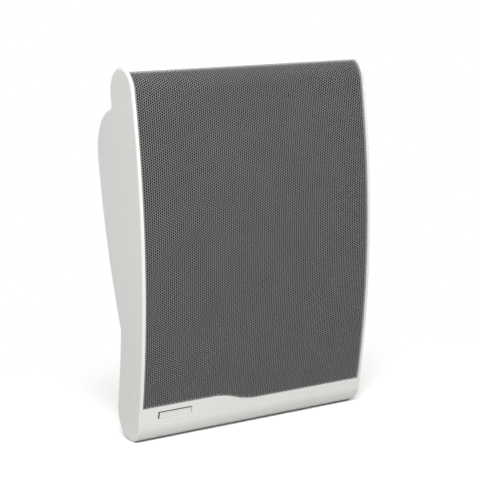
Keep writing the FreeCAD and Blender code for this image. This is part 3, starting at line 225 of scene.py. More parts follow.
class Tree:
    """Adds nodes to a node tree."""

    def __init__(self, tree):
        self.tree = tree

    def add(self, kind, inputs=None, **settings):
        """A node with its settings, and its inputs linked or set."""
        node = self.tree.nodes.new(kind)
        for name, value in settings.items():
            setattr(node, name, value)
        for key, value in (inputs or {}).items():
            self.feed(node.inputs[key], value)
        return node

    def feed(self, socket, value):
        """Links a socket to another, or sets its own value."""
        if isinstance(value, bpy.types.NodeSocket):
            self.tree.links.new(value, socket)
        else:
            socket.default_value = value

    def out(self, kind, inputs=None, **settings):
        """A node's first output."""
        return self.add(kind, inputs, **settings).outputs[0]

    def shape(self, kind, inputs=None, **settings):
        """A geometry node's first output."""
        return self.out(f"GeometryNode{kind}", inputs, **settings)

    def math(self, sign, *values):
        """A sum on one or more numbers, by its sign or its name."""
        return self.out("ShaderNodeMath", dict(enumerate(values)), operation=SIGNS.get(sign, sign))

    def clamp(self, value, low, high):
        """A number held between two others."""
        return self.math("MINIMUM", self.math("MAXIMUM", value, low), high)

    def span(self, value, low=0.0, high=1.0, start=0.0, stop=1.0):
        """A number from low to high, as another goes from start to stop."""
        return self.out("ShaderNodeMapRange", {
            "Value": value, "From Min": start, "From Max": stop, "To Min": low, "To Max": high})

    def every(self, *tests):
        """True where all of several tests are."""
        result = tests[0]
        for test in tests[1:]:
            result = self.math("*", result, test)
        return result

    def vector(self, x, y, z):
        """A vector from three numbers."""
        return self.out("ShaderNodeCombineXYZ", {"X": x, "Y": y, "Z": z})

    def parts(self, vector):
        """The three numbers of a vector."""
        return self.add("ShaderNodeSeparateXYZ", {"Vector": vector}).outputs

    def position(self):
        """The three numbers of a point's place."""
        return self.parts(self.shape("InputPosition"))

    def join(self, *parts):
        """Several geometries as one."""
        node = self.add("GeometryNodeJoinGeometry")
        for part in parts:
            self.tree.links.new(part, node.inputs[0])
        return node.outputs[0]

    def mix(self, factor, first, second):
        """A colour between two others."""
        node = self.add("ShaderNodeMix", {"Factor": factor}, data_type="RGBA")
        sockets = [socket for socket in node.inputs if socket.type == "RGBA"]
        for socket, value in zip(sockets, (first, second)):
            self.feed(socket, value)
        return [socket for socket in node.outputs if socket.type == "RGBA"][0]

    def mix_shaders(self, factor, first, second):
        """A shader between two others."""
        return self.out("ShaderNodeMixShader", {0: factor, 1: first, 2: second})

    def group(self, name, maker, inputs):
        """The outputs of a node that holds a group."""
        kind = "ShaderNodeGroup" if self.tree.type == "SHADER" else "GeometryNodeGroup"
        return self.add(kind, inputs, node_tree=built(name, maker)).outputs


def built(name, maker):
    """A node group, built at its first use."""
    return bpy.data.node_groups.get(name) or maker()


def floats(*labels):
    """Number sockets by their labels."""
    return dict.fromkeys(labels, "Float")


def new_group(kind, name, inputs, outputs):
    """An empty node group with named sockets, with its inputs and outputs as sockets."""
    group = bpy.data.node_groups.new(name, f"{kind}NodeTree")
    for side, sockets in (("INPUT", inputs), ("OUTPUT", outputs)):
        for label, socket in sockets.items():
            group.interface.new_socket(label, in_out=side, socket_type=f"NodeSocket{socket}")
    tree = Tree(group)
    return tree, tree.add("NodeGroupInput").outputs, tree.add("NodeGroupOutput").inputs


def node_tree(owner):
    """The emptied node tree of a material or a world."""
    owner.use_nodes = True
    owner.node_tree.nodes.clear()
    return Tree(owner.node_tree)


def link_object(name, mesh):
    """A new object at the origin, in the scene."""
    piece = bpy.data.objects.new(name, mesh)
    bpy.context.scene.collection.objects.link(piece)
    return piece


def plain_mesh(piece):
    """Replaces an object's mesh by what its modifiers make of it, and removes them."""
    seen = piece.evaluated_get(bpy.context.evaluated_depsgraph_get())
    mesh = bpy.data.meshes.new_from_object(seen)
    piece.modifiers.clear()
    piece.data = mesh
    mesh.name = piece.name
    if not mesh.polygons:
        raise RuntimeError(f"{piece.name} came out empty")


def run_geometry(name, group, values):
    """The result of a geometry tree as an object with a plain mesh."""
    piece = link_object(name, bpy.data.meshes.new(name))
    modifier = piece.modifiers.new(group.name, "NODES")
    modifier.node_group = group
    for item in group.interface.items_tree:
        if item.in_out == "INPUT" and item.name in values:
            modifier[item.identifier] = values[item.name]
    plain_mesh(piece)
    return piece


def settle(piece, body, slot, *nodes):
    """Parents a finished piece to its body's empty, and hides the solids it stands for."""
    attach(piece, body)
    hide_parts(*nodes)


def box_in(node, frame_place):
    """A node's lowest and highest corners, measured in another frame."""
    back = frame_place.inverted()
    points = [back @ vertex.co for vertex in frame["nodes"][node].data.vertices]
    low = Vector([min(point[axis] for point in points) for axis in range(3)])
    high = Vector([max(point[axis] for point in points) for axis in range(3)])
    return low, high


# Shader groups that several finishes share

def object_place(tree, scale=(1, 1, 1), rotation=(0, 0, 0)):
    """Object coordinates, turned and stretched."""
    where = tree.add("ShaderNodeTexCoord").outputs["Object"]
    return tree.out("ShaderNodeMapping", {"Vector": where, "Scale": scale, "Rotation": rotation})


def mottle_group():
    """Slow and fine changes of tone and gloss over a surface."""
    tree, given, result = new_group(
        "Shader", "mottle",
        {"Light Tone": "Color", "Dark Tone": "Color",
         **floats("Patch Size", "Fine Size", "Smooth", "Rough")},
        {"Color": "Color", "Roughness": "Float"})
    where = tree.add("ShaderNodeTexCoord").outputs["Object"]
    masks = []
    for label, detail in (("Patch Size", 3.0), ("Fine Size", 5.0)):
        scale = tree.math("/", 1.0, given[label])
        masks.append(tree.out("ShaderNodeTexNoise", {
            "Vector": where, "Scale": scale, "Detail": detail}))
    mask = tree.span(tree.math("*", tree.math("+", *masks), 0.5), start=0.32, stop=0.68)
    tree.feed(result["Color"], tree.mix(mask, given["Light Tone"], given["Dark Tone"]))
    tree.feed(result["Roughness"], tree.span(mask, given["Smooth"], given["Rough"]))
    return tree.tree


def grain_group():
    """The fine grain of a moulded or sprayed surface, as a height."""
    tree, given, result = new_group("Shader", "grain", floats("Grain Size"), floats("Height"))
    where = tree.add("ShaderNodeTexCoord").outputs["Object"]
    scale = tree.math("/", 1.0, given["Grain Size"])
    cells = tree.out("ShaderNodeTexVoronoi", {"Vector": where, "Scale": scale}, feature="SMOOTH_F1")
    noise = tree.out("ShaderNodeTexNoise", {"Vector": where, "Scale": scale, "Detail": 2.0})
    tree.feed(result["Height"], tree.math("*", tree.math("+", cells, noise), 0.5))
    return tree.tree


def weave_group():
    """Crossing threads, as a height."""
    tree, given, result = new_group(
        "Shader", "weave", {"Place": "Vector", "Thread": "Float"}, floats("Height"))
    across = tree.parts(given["Place"])
    rate = tree.math("/", 2 * math.pi, given["Thread"])
    waves = [tree.math("SINE", tree.math("*", across[axis], rate)) for axis in (0, 2)]
    over = tree.math("*", *waves)
    tree.feed(result["Height"], tree.math("+", tree.math("*", over, 0.5), 0.5))
    return tree.tree


def brush_group():
    """Fine straight strokes along x, as a mask."""
    tree, given, result = new_group("Shader", "brush", floats("Stroke"), floats("Mask"))
    drawn_out = object_place(tree, scale=(0.02, 1, 1))
    scale = tree.math("/", 1.0, given["Stroke"])
    tree.feed(result["Mask"], tree.out("ShaderNodeTexNoise", {
        "Vector": drawn_out, "Scale": scale, "Detail": 3.0}))
    return tree.tree


# Finishes, with their sizes in millimetres

def shade(tone, share):
    """A colour with each part scaled, as four numbers."""
    return (*(channel * share for channel in tone), 1.0)


def new_finish(name, metallic=0.0):
    """An empty material with a Principled shader."""
    material = bpy.data.materials.new(name)
    tree = node_tree(material)
    shader = tree.add("ShaderNodeBsdfPrincipled", {"Metallic": metallic})
    tree.add("ShaderNodeOutputMaterial", {"Surface": shader.outputs[0]})
    return material, tree, shader


def add_tone(tree, shader, tone, contrast, patch, fine, smooth, rough):
    """Colour and roughness that vary about a tone."""
    outputs = tree.group("mottle", mottle_group, {
        "Light Tone": shade(tone, 1 + contrast), "Dark Tone": shade(tone, 1 - contrast),
        "Patch Size": patch * MM, "Fine Size": fine * MM, "Smooth": smooth, "Rough": rough})
    tree.feed(shader.inputs["Base Color"], outputs["Color"])
    tree.feed(shader.inputs["Roughness"], outputs["Roughness"])


def add_strokes(tree, shader, tone, contrast, stroke, smooth, rough):
    """Gloss and height that vary in fine strokes, and the colour that goes with them."""
    mask = tree.group("brush", brush_group, {"Stroke": stroke * MM})["Mask"]
    tree.feed(shader.inputs["Roughness"], tree.span(mask, smooth, rough))
    add_bump(tree, shader, mask, strength=0.15, distance=0.05)
    return tree.mix(mask, shade(tone, 1 + contrast), shade(tone, 1 - contrast))


def add_bump(tree, shader, height, strength, distance):
    """A bump from a height."""
    tree.feed(shader.inputs["Normal"], tree.out("ShaderNodeBump", {
        "Height": height, "Strength": strength, "Distance": distance * MM}))


def grained_finish(name, tone, contrast, patch, fine, smooth, rough, grain, strength, metallic=0.0):
    """A finish with tone changes and an even fine grain."""
    material, tree, shader = new_finish(name, metallic)
    add_tone(tree, shader, tone, contrast, patch, fine, smooth, rough)
    height = tree.group("grain", grain_group, {"Grain Size": grain * MM})["Height"]
    add_bump(tree, shader, height, strength, distance=0.1)
    return material


def brushed_finish(name, tone, contrast, stroke, smooth, rough):
    """Metal with fine straight strokes."""
    material, tree, shader = new_finish(name, metallic=1.0)
    tree.feed(shader.inputs["Base Color"],
              add_strokes(tree, shader, tone, contrast, stroke, smooth, rough))
    return material


def plate_finish(name, tone, shadow_tone, line):
    """Satin metal with painted shade: a dark line along its upper and left edges stands in for the
    shadow of the recess it sits in.
    """
    material, tree, shader = new_finish(name, metallic=0.2)
    metal = add_strokes(tree, shader, tone, contrast=0.06, stroke=0.25, smooth=0.42, rough=0.55)
    # The plate's box gives the upper and left edges that the painted shadow line follows
    low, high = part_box("nameplate")
    x, _, z = tree.parts(object_place(tree))
    # Mask of the painted shadow: 1 within the line's width of the left or the upper edge
    edge = tree.math("MAXIMUM", tree.math("<", x, low[0] + line), tree.math(">", z, high[2] - line))
    # Painted shadow: the dark tone replaces the metal inside that mask
    tree.feed(shader.inputs["Base Color"], tree.mix(edge, metal, shade(shadow_tone, 1.0)))
    return material


def woven_finish(name, tone, thread, rough):
    """Cloth with crossing threads that lie in the slab."""
    material, tree, shader = new_finish(name)
    shader.inputs["Specular IOR Level"].default_value = 0.1
    add_tone(tree, shader, tone, contrast=0.25, patch=12, fine=1.5, smooth=rough - 0.08, rough=rough)
    where = object_place(tree, rotation=(-LEAN, 0, 0))
    height = tree.group("weave", weave_group, {"Place": where, "Thread": thread * MM})["Height"]
    add_bump(tree, shader, height, strength=0.8, distance=0.2)
    return material


def wound_finish(name, tone, pitch):
    """Enamelled wire wound in close turns along the driver's axis."""
    material, tree, shader = new_finish(name, metallic=1.0)
    add_tone(tree, shader, tone, contrast=0.12, patch=4, fine=0.8, smooth=0.22, rough=0.36)
    where = tree.parts(object_place(tree, rotation=(-LEAN, 0, 0)))
    turns = tree.math("SINE", tree.math("*", where[1], 2 * math.pi / (pitch * MM)))
    add_bump(tree, shader, turns, strength=0.7, distance=0.1)
    return material


def make_finishes():
    """Every finish by its slot."""
    tones = bpy.context.scene.speaker_colours
    board, tag, ceramic = (0.30, 0.20, 0.115), (0.20, 0.095, 0.042), (0.045, 0.045, 0.048)
    copper, brass = (0.62, 0.27, 0.12), (0.66, 0.60, 0.48)
    foil, linen = (0.60, 0.56, 0.50), (0.48, 0.36, 0.17)
    # Each row holds what grained_finish takes, in its order
    grained = {
        "cabinet_white": ("white moulding", tones.cabinet, 0.012, 60, 3, 0.36, 0.44, 0.9, 0.12),
        "grille_paint": ("grille paint", tones.grille, 0.06, 25, 0.8, 0.42, 0.55, 0.35, 0.2),
        "fibre_board": ("fibre board", board, 0.14, 9, 0.9, 0.72, 0.86, 0.6, 0.5),
        "frame_paint": ("frame paint", tones.black, 0.12, 14, 1.2, 0.4, 0.52, 0.7, 0.2),
        "gasket_foam": ("gasket foam", tones.black, 0.3, 5, 0.6, 0.86, 0.96, 0.5, 0.9),
        "cone_paper": ("cone paper", tones.paper, 0.2, 8, 0.7, 0.78, 0.9, 0.4, 0.6),
        "surround_rubber": ("surround rubber", tones.black, 0.1, 9, 1, 0.5, 0.62, 0.6, 0.15),
        "zinc_steel": ("zinc steel", tones.zinc, 0.07, 7, 0.9, 0.26, 0.4, 0.8, 0.08, 1.0),
        "ferrite": ("ferrite", ceramic, 0.2, 6, 0.5, 0.55, 0.7, 0.4, 0.35),
        "tag_fibre": ("tag fibre", tag, 0.12, 5, 0.5, 0.55, 0.68, 0.3, 0.3),
        "terminal_black": ("terminal black", tones.black, 0.1, 9, 0.9, 0.38, 0.5, 0.5, 0.2),
        "terminal_red": ("terminal red", tones.red, 0.06, 7, 0.9, 0.32, 0.42, 0.5, 0.14),
        "wire_red": ("red wire", tones.red, 0.08, 5, 0.7, 0.38, 0.5, 0.4, 0.15),
        "wire_black": ("black wire", tones.black, 0.15, 5, 0.7, 0.38, 0.5, 0.4, 0.15),
    }
    # Width of the painted shadow line on the blank plate
    line = bpy.context.scene.speaker_sizes.plate_shadow_line
    return {
        **{slot: grained_finish(*row) for slot, row in grained.items()},
        # Blank plate: satin metal with a painted shadow line along its upper and left edges
        "plate_metal": plate_finish("plate metal", tones.plate, tones.black, line),
        "black_cloth": woven_finish("black cloth", tones.cloth, thread=0.6, rough=0.95),
        "spider_cloth": woven_finish("spider cloth", linen, thread=0.5, rough=0.85),
        "former_foil": brushed_finish("former foil", foil, 0.08, 0.3, 0.25, 0.4),
        "tinned_brass": brushed_finish("tinned brass", brass, 0.07, 0.2, 0.25, 0.38),
        "winding_copper": wound_finish("winding copper", copper, pitch=0.25),
    }


FINISHES = {}


def finish_for(slot):
    """The finish of a slot, all made at the first call."""
    if not FINISHES:
        FINISHES.update(make_finishes())
    return FINISHES[slot]


# Front curve

class FrontCurve:
    """The bent front and the top round, drawn in by inset.

    Places on it are arc lengths from its middle.
    """

    def __init__(self, sizes, inset, gap):
        self.centre = sizes.front_radius
        end_radius = sizes.slab_depth / 2
        middle = sizes.front_radius - end_radius
        self.end_height = (sizes.body_height - sizes.slab_depth) / 2
        self.join = math.asin(self.end_height / middle)
        self.end_depth = sizes.front_radius - middle * math.cos(self.join)
        self.face = sizes.front_radius - inset
        self.crown = end_radius - inset
        self.bend = self.face * self.join
        self.top = self.along_crown(sizes.opening_angle - gap / end_radius)
        self.chin_left = sizes.chin_left - sizes.body_height / 2 + gap
        self.chin_right = sizes.chin_right - sizes.body_height / 2 + gap
        self.foot = self.along_face(self.chin_right)

    def along_face(self, height):
        """The arc length at a height on the bent front."""
        return self.face * math.asin(height / self.face)

    def along_crown(self, angle):
        """The arc length at an angle on the top round."""
        return self.bend + self.crown * (angle - self.join)

    def point(self, x, along, depth):
        """A point of the wall frame, by its place along the curve and its depth behind it."""
        if along <= self.bend:
            angle, radius, centre, height = along / self.face, self.face, self.centre, 0.0
        else:
            angle = self.join + (along - self.bend) / self.crown
            radius, centre, height = self.crown, self.end_depth, self.end_height
        reach = radius - depth
        flat = Vector((x, centre - reach * math.cos(angle), height + reach * math.sin(angle)))
        return SLAB_PLACE @ flat

    def inputs(self, sizes):
        """The curve and the chin's edge as inputs of the groups that follow them."""
        return {"Centre": self.centre, "Face Radius": self.face, "Crown Radius": self.crown,
                "Join Angle": self.join, "End Depth": self.end_depth, "End Height": self.end_height,
                "Lean": LEAN, "Origin": SLAB_ORIGIN, "Left Height": self.chin_left,
                "Right Height": self.chin_right, "Step Left": sizes.step_left,
                "Step Right": sizes.step_right}


CHIN_SOCKETS = floats("Left Height", "Right Height", "Step Left", "Step Right", "Face Radius")
CURVE_SOCKETS = {**floats("Centre", "Face Radius", "Crown Radius", "Join Angle", "End Depth",
                          "End Height", "Lean"), "Origin": "Vector"}
SHEET_SOCKETS = {**floats("Gauge", "Half Width", "Top"), "Columns": "Int", "Rows": "Int",
                 "Material": "Material", **CURVE_SOCKETS, **CHIN_SOCKETS}
GEOMETRY = {"Geometry": "Geometry"}


def chin_group():
    """The arc length of the chin's edge at x: two level runs and a step of two arcs."""
    tree, given, result = new_group("Geometry", "chin edge", {**floats("X"), **CHIN_SOCKETS},
                                    floats("Along"))
    run = tree.math("*", tree.math("-", given["Step Right"], given["Step Left"]), 0.5)
    fall = tree.math("*", tree.math("-", given["Left Height"], given["Right Height"]), 0.5)
    squares = tree.math("+", tree.math("*", run, run), tree.math("*", fall, fall))
    radius = tree.math("/", squares, tree.math("*", fall, 2.0))
    drops = []
    for start, stop in ((given["Step Left"], given["X"]), (given["X"], given["Step Right"])):
        reach = tree.clamp(tree.math("-", stop, start), 0.0, run)
        under = tree.math("-", tree.math("*", radius, radius), tree.math("*", reach, reach))
        drops.append(tree.math("-", radius, tree.math("SQRT", under)))
    height = tree.math("-", tree.math("-", given["Left Height"], fall), drops[0])
    height = tree.math("+", height, drops[1])
    angle = tree.math("ARCSINE", tree.math("/", height, given["Face Radius"]))
    tree.feed(result["Along"], tree.math("*", angle, given["Face Radius"]))
    return tree.tree


def chin_at(tree, given, x):
    """The arc length of the chin's edge at x, in a group that has the chin's inputs."""
    values = {"X": x, **{label: given[label] for label in CHIN_SOCKETS}}
    return tree.group("chin edge", chin_group, values)["Along"]


def bend_group():
    """Bends a flat sheet, x across, y along and z outward, to the front curve, and leans it."""
    tree, given, result = new_group("Geometry", "bend to front", {**GEOMETRY, **CURVE_SOCKETS},
                                    GEOMETRY)
    x, along, outward = tree.position()
    bend = tree.math("*", given["Face Radius"], given["Join Angle"])
    face_angle = tree.math("/", along, given["Face Radius"])
    rest = tree.math("/", tree.math("-", along, bend), given["Crown Radius"])
    crown_angle = tree.math("+", given["Join Angle"], rest)
    places = []
    for angle, radius, depth, height in (
            (face_angle, "Face Radius", given["Centre"], 0.0),
            (crown_angle, "Crown Radius", given["End Depth"], given["End Height"])):
        reach = tree.math("+", given[radius], outward)
        y = tree.math("-", depth, tree.math("*", reach, tree.math("COSINE", angle)))
        z = tree.math("+", height, tree.math("*", reach, tree.math("SINE", angle)))
        places.append(tree.vector(x, y, z))
    chosen = tree.shape("Switch", {"Switch": tree.math(">", along, bend), "False": places[0],
                                   "True": places[1]}, input_type="VECTOR")
    bent = tree.shape("SetPosition", {"Geometry": given["Geometry"], "Position": chosen})
    lean = tree.vector(given["Lean"], 0.0, 0.0)
    tree.feed(result["Geometry"], tree.shape("Transform", {
        "Geometry": bent, "Translation": given["Origin"], "Rotation": lean}))
    return tree.tree


def bend_to_front(tree, given, sheet):
    """A flat sheet bent, in a group that has the curve's inputs."""
    values = {"Geometry": sheet, **{label: given[label] for label in CURVE_SOCKETS}}
    return tree.group("bend to front", bend_group, values)["Geometry"]


def finish_result(tree, given, result, geometry):
    """Gives a group's geometry its finish and hands it out."""
    tree.feed(result["Geometry"], tree.shape("SetMaterial", {
        "Geometry": geometry, "Material": given["Material"]}))
    return tree.tree


def cell_group():
    """One cell of the perforation: a six-sided tile with a hole, or without one."""
    tree, given, result = new_group("Geometry", "perforation cell", floats("Pitch", "Hole Radius"),
                                    {"Pierced": "Geometry", "Plain": "Geometry"})
    corner = tree.math("/", given["Pitch"], math.sqrt(3))
    tile = tree.shape("MeshCircle", {"Vertices": 6, "Radius": corner}, fill_type="NGON")
    ring = tree.add("GeometryNodeExtrudeMesh", {
        "Mesh": tile, "Offset Scale": 0.0, "Individual": False}, mode="FACES").outputs
    share = tree.math("/", given["Hole Radius"], corner)
    shrunk = tree.shape("ScaleElements", {"Geometry": ring["Mesh"], "Selection": ring["Top"],
                                          "Scale": share}, domain="FACE")
    tree.feed(result["Pierced"], tree.shape("DeleteGeometry", {
        "Geometry": shrunk, "Selection": ring["Top"]}, domain="FACE"))
    tree.feed(result["Plain"], tile)
    return tree.tree


def thicken(tree, flat, gauge):
    """A closed sheet from a flat one, which is its outer face."""
    back = tree.shape("Transform", {
        "Geometry": flat, "Translation": tree.vector(0.0, 0.0, tree.math("*", gauge, -1.0))})
    raised = tree.shape("ExtrudeMesh", {"Mesh": back, "Offset": (0.0, 0.0, 1.0), "Offset Scale": gauge,
                                        "Individual": False}, mode="FACES")
    under = tree.shape("FlipFaces", {"Mesh": back})
    return tree.shape("MergeByDistance", {"Geometry": tree.join(raised, under), "Distance": WELD})


def trim(tree, flat, half_width, chin, top):
    """Draws in what lies past the sides, the chin or the top, and drops what is left of no size."""
    x, along, outward = tree.position()
    inside = tree.vector(tree.clamp(x, tree.math("*", half_width, -1.0), half_width),
                         tree.clamp(along, chin, top), outward)
    drawn = tree.shape("SetPosition", {"Geometry": flat, "Position": inside})
    speck = tree.math("<", tree.shape("InputMeshFaceArea"), SPECK_AREA)
    kept = tree.shape("DeleteGeometry", {"Geometry": drawn, "Selection": speck}, domain="FACE")
    return tree.shape("MergeByDistance", {"Geometry": kept, "Distance": WELD})


def map_flat(tree, sheet):
    """A UV map of the flat sheet, slanted so that the walls of the holes have a width on it."""
    x, along, outward = tree.position()
    middle, side = 0.15, 0.32
    places = []
    for ahead, slant in ((x, 0.35), (along, 0.2)):
        slanted = tree.math("+", ahead, tree.math("*", outward, slant))
        places.append(tree.math("*", tree.math("+", slanted, middle), 1 / side))
    return tree.shape("StoreNamedAttribute", {
        "Geometry": sheet, "Name": "OFBake", "Value": tree.vector(*places, 0.0)},
        data_type="FLOAT2", domain="CORNER")


def perforated_group():
    """A band of the perforated sheet, cut to the opening and bent to the front."""
    tree, given, result = new_group(
        "Geometry", "perforated sheet",
        {**floats("Pitch", "Hole Radius", "Side Margin", "End Margin", "Row Shift", "Band Low",
                  "Band High"), **SHEET_SOCKETS}, GEOMETRY)
    pitch, hole = given["Pitch"], given["Hole Radius"]
    half_width, top = given["Half Width"], given["Top"]
    column = tree.math("*", pitch, math.sqrt(3) / 2)
    wide = tree.math("*", column, tree.math("-", given["Columns"], 1.0))
    tall = tree.math("*", pitch, tree.math("-", given["Rows"], 1.0))
    grid = tree.shape("MeshGrid", {"Size X": wide, "Size Y": tall, "Vertices X": given["Columns"],
                                   "Vertices Y": given["Rows"]})
    from_left = tree.math("+", tree.position()[0], tree.math("*", wide, 0.5))
    index = tree.math("ROUND", tree.math("/", from_left, column))
    stagger = tree.math("*", tree.math("MODULO", index, 2.0), tree.math("*", pitch, 0.5))
    shift = tree.math("+", stagger, given["Row Shift"])
    points = tree.shape("SetPosition", {"Geometry": grid, "Offset": tree.vector(0.0, shift, 0.0)})
    x, along, _ = tree.position()
    side = tree.math("ABSOLUTE", x)
    edge = chin_at(tree, given, x)
    present = tree.every(
        tree.math("<", side, tree.math("+", half_width, column)),
        tree.math(">", along, tree.math("-", edge, pitch)),
        tree.math("<", along, tree.math("+", top, pitch)),
        tree.math(">", along, given["Band Low"]),
        tree.math("<", along, given["Band High"]))
    side_room = tree.math("+", given["Side Margin"], hole)
    end_room = tree.math("+", given["End Margin"], tree.math("*", hole, HEX_FLAT))
    pierced = tree.every(
        tree.math("<", side, tree.math("-", half_width, side_room)),
        tree.math(">", along, tree.math("+", edge, end_room)),
        tree.math("<", along, tree.math("-", top, end_room)))
    tiles = tree.group("perforation cell", cell_group, {"Pitch": pitch, "Hole Radius": hole})
    plain = tree.math("-", 1.0, pierced)
    fields = [tree.shape("InstanceOnPoints", {
        "Points": points, "Selection": tree.every(present, chosen), "Instance": tiles[kind]})
        for kind, chosen in (("Pierced", pierced), ("Plain", plain))]
    tiled = tree.shape("RealizeInstances", {"Geometry": tree.join(*fields)})
    flat = tree.shape("MergeByDistance", {"Geometry": tiled, "Distance": TILE_WELD})
    flat = trim(tree, flat, half_width, chin_at(tree, given, tree.position()[0]), top)
    mapped = map_flat(tree, thicken(tree, flat, given["Gauge"]))
    return finish_result(tree, given, result, bend_to_front(tree, given, mapped))


def cloth_group():
    """A plain sheet cut to the opening and bent to the front."""
    tree, given, result = new_group("Geometry", "stretched cloth", {**floats("Foot"), **SHEET_SOCKETS},
                                    GEOMETRY)
    foot, top, half_width = given["Foot"], given["Top"], given["Half Width"]
    grid = tree.shape("MeshGrid", {
        "Size X": tree.math("*", half_width, 2.0), "Size Y": tree.math("-", top, foot),
        "Vertices X": given["Columns"], "Vertices Y": given["Rows"]})
    middle = tree.math("*", tree.math("+", top, foot), 0.5)
    raised = tree.shape("Transform", {"Geometry": grid, "Translation": tree.vector(0.0, middle, 0.0)})
    flat = trim(tree, raised, half_width, chin_at(tree, given, tree.position()[0]), top)
    bent = bend_to_front(tree, given, thicken(tree, flat, given["Gauge"]))
    return finish_result(tree, given, result, bent)


# Pieces

def dress(slot, *nodes):
    """Gives solids their finish."""
    for node in nodes:
        for material_slot in frame["nodes"][node].material_slots:
            material_slot.material = finish_for(slot)


def merged_copy(node):
    """A copy of a solid with its faces joined along their edges."""
    mesh = bmesh.new()
    mesh.from_mesh(frame["nodes"][node].data)
    bmesh.ops.remove_doubles(mesh, verts=mesh.verts, dist=WELD)
    return mesh


def softened_copy(node, bevel):
    """A copy of a solid with its edges bevelled."""
    mesh = merged_copy(node)
    bmesh.ops.dissolve_limit(mesh, angle_limit=FLAT, verts=mesh.verts, edges=mesh.edges)
    sharp = [edge for edge in mesh.edges if edge.calc_face_angle(0.0) > SHARP]
    bmesh.ops.bevel(mesh, geom=sharp, offset=bevel, offset_type="OFFSET", segments=BEVEL_STEPS,
                    profile=0.5, affect="EDGES", clamp_overlap=True)
    return mesh


def shade_curves(mesh):
    """Smooth shading, except across sharp edges."""
    for face in mesh.faces:
        face.smooth = True
    for edge in mesh.edges:
        edge.smooth = edge.calc_face_angle(0.0) < SHARP


def mesh_piece(name, mesh, slot):
    """An object from a finished bmesh, with its finish."""
    data = bpy.data.meshes.new(name)
    mesh.to_mesh(data)
    mesh.free()
    data.materials.append(finish_for(slot))
    return link_object(name, data)


def smooth_copy(name, node, slot):
    """A copy of a solid as a piece of its own, with smooth shading."""
    mesh = merged_copy(node)
    shade_curves(mesh)
    return mesh_piece(name, mesh, slot)


def bend(piece, body, slot, node, start, end):
    """Bakes a piece's place into its mesh, and hides the solid it stands for."""
    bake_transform(piece)
    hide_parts(node)


def bent_strip(name, node, slot, body, fixed, moved):
    """A smooth copy of a solid; the points at two shares of its depth are found, but it is not bent.
    """
    low, high = box_in(node, SLAB_PLACE)
    middle = (low + high) / 2
    ends = [SLAB_PLACE @ Vector((middle.x, low.y + share * (high.y - low.y), middle.z))
            for share in (fixed, moved)]
    bend(smooth_copy(name, node, slot), body, slot, node, *ends)


def bent_ring(name, node, slot):
    """A smooth copy of a ring.

    While the ends at its rim and its bore are found, each point lies at its radius along a straight
    line, and then goes back; it is not bent.
    """
    piece = smooth_copy(name, node, slot)
    low, high = box_in(node, SLAB_PLACE)
    back = Matrix.Translation(-(low + high) / 2) @ SLAB_PLACE.inverted()
    vertices = piece.data.vertices
    places = [vertex.co.copy() for vertex in vertices]
    radii = [(back @ place).xz.length for place in places]
    for vertex, radius in zip(vertices, radii):
        vertex.co = (radius, 0.0, 0.0)
    bore, rim = min(radii), max(radii)
    land = RING_LAND * (rim - bore)
    bend(piece, "cone_assembly", slot, node, (rim - land, 0.0, 0.0), (bore + land, 0.0, 0.0))
    for vertex, place in zip(vertices, places):
        vertex.co = place
    piece.data.update()


class SPEAKER_OT_cabinet(bpy.types.Operator):
    """Build the moulded cabinet, whose rims are drawn out thin beside the grille"""
    bl_idname = "speaker.cabinet"
    bl_label = "Cabinet"

    def execute(self, context):
        sizes = context.scene.speaker_sizes
        solid_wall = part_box("grille")[1][0] + sizes.grille_gap
        mesh = merged_copy("cabinet")
        solid_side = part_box("cabinet")[1][0]
        for vertex in mesh.verts:
            reach = abs(vertex.co.x)
            if abs(reach - solid_wall) < WALL_FIT:
                reach = sizes.opening_width / 2
            elif reach > solid_side - sizes.solid_round - WELD:
                reach = solid_side - (solid_side - reach) * sizes.edge_round / sizes.solid_round
            vertex.co.x = math.copysign(reach, vertex.co.x)
        shade_curves(mesh)
        piece = mesh_piece("moulded_cabinet", mesh, "cabinet_white")
        normals = piece.modifiers.new("normals", "WEIGHTED_NORMAL")
        normals.keep_sharp = True
        plain_mesh(piece)
        settle(piece, "housing", "cabinet_white", "cabinet")
        return {"FINISHED"}


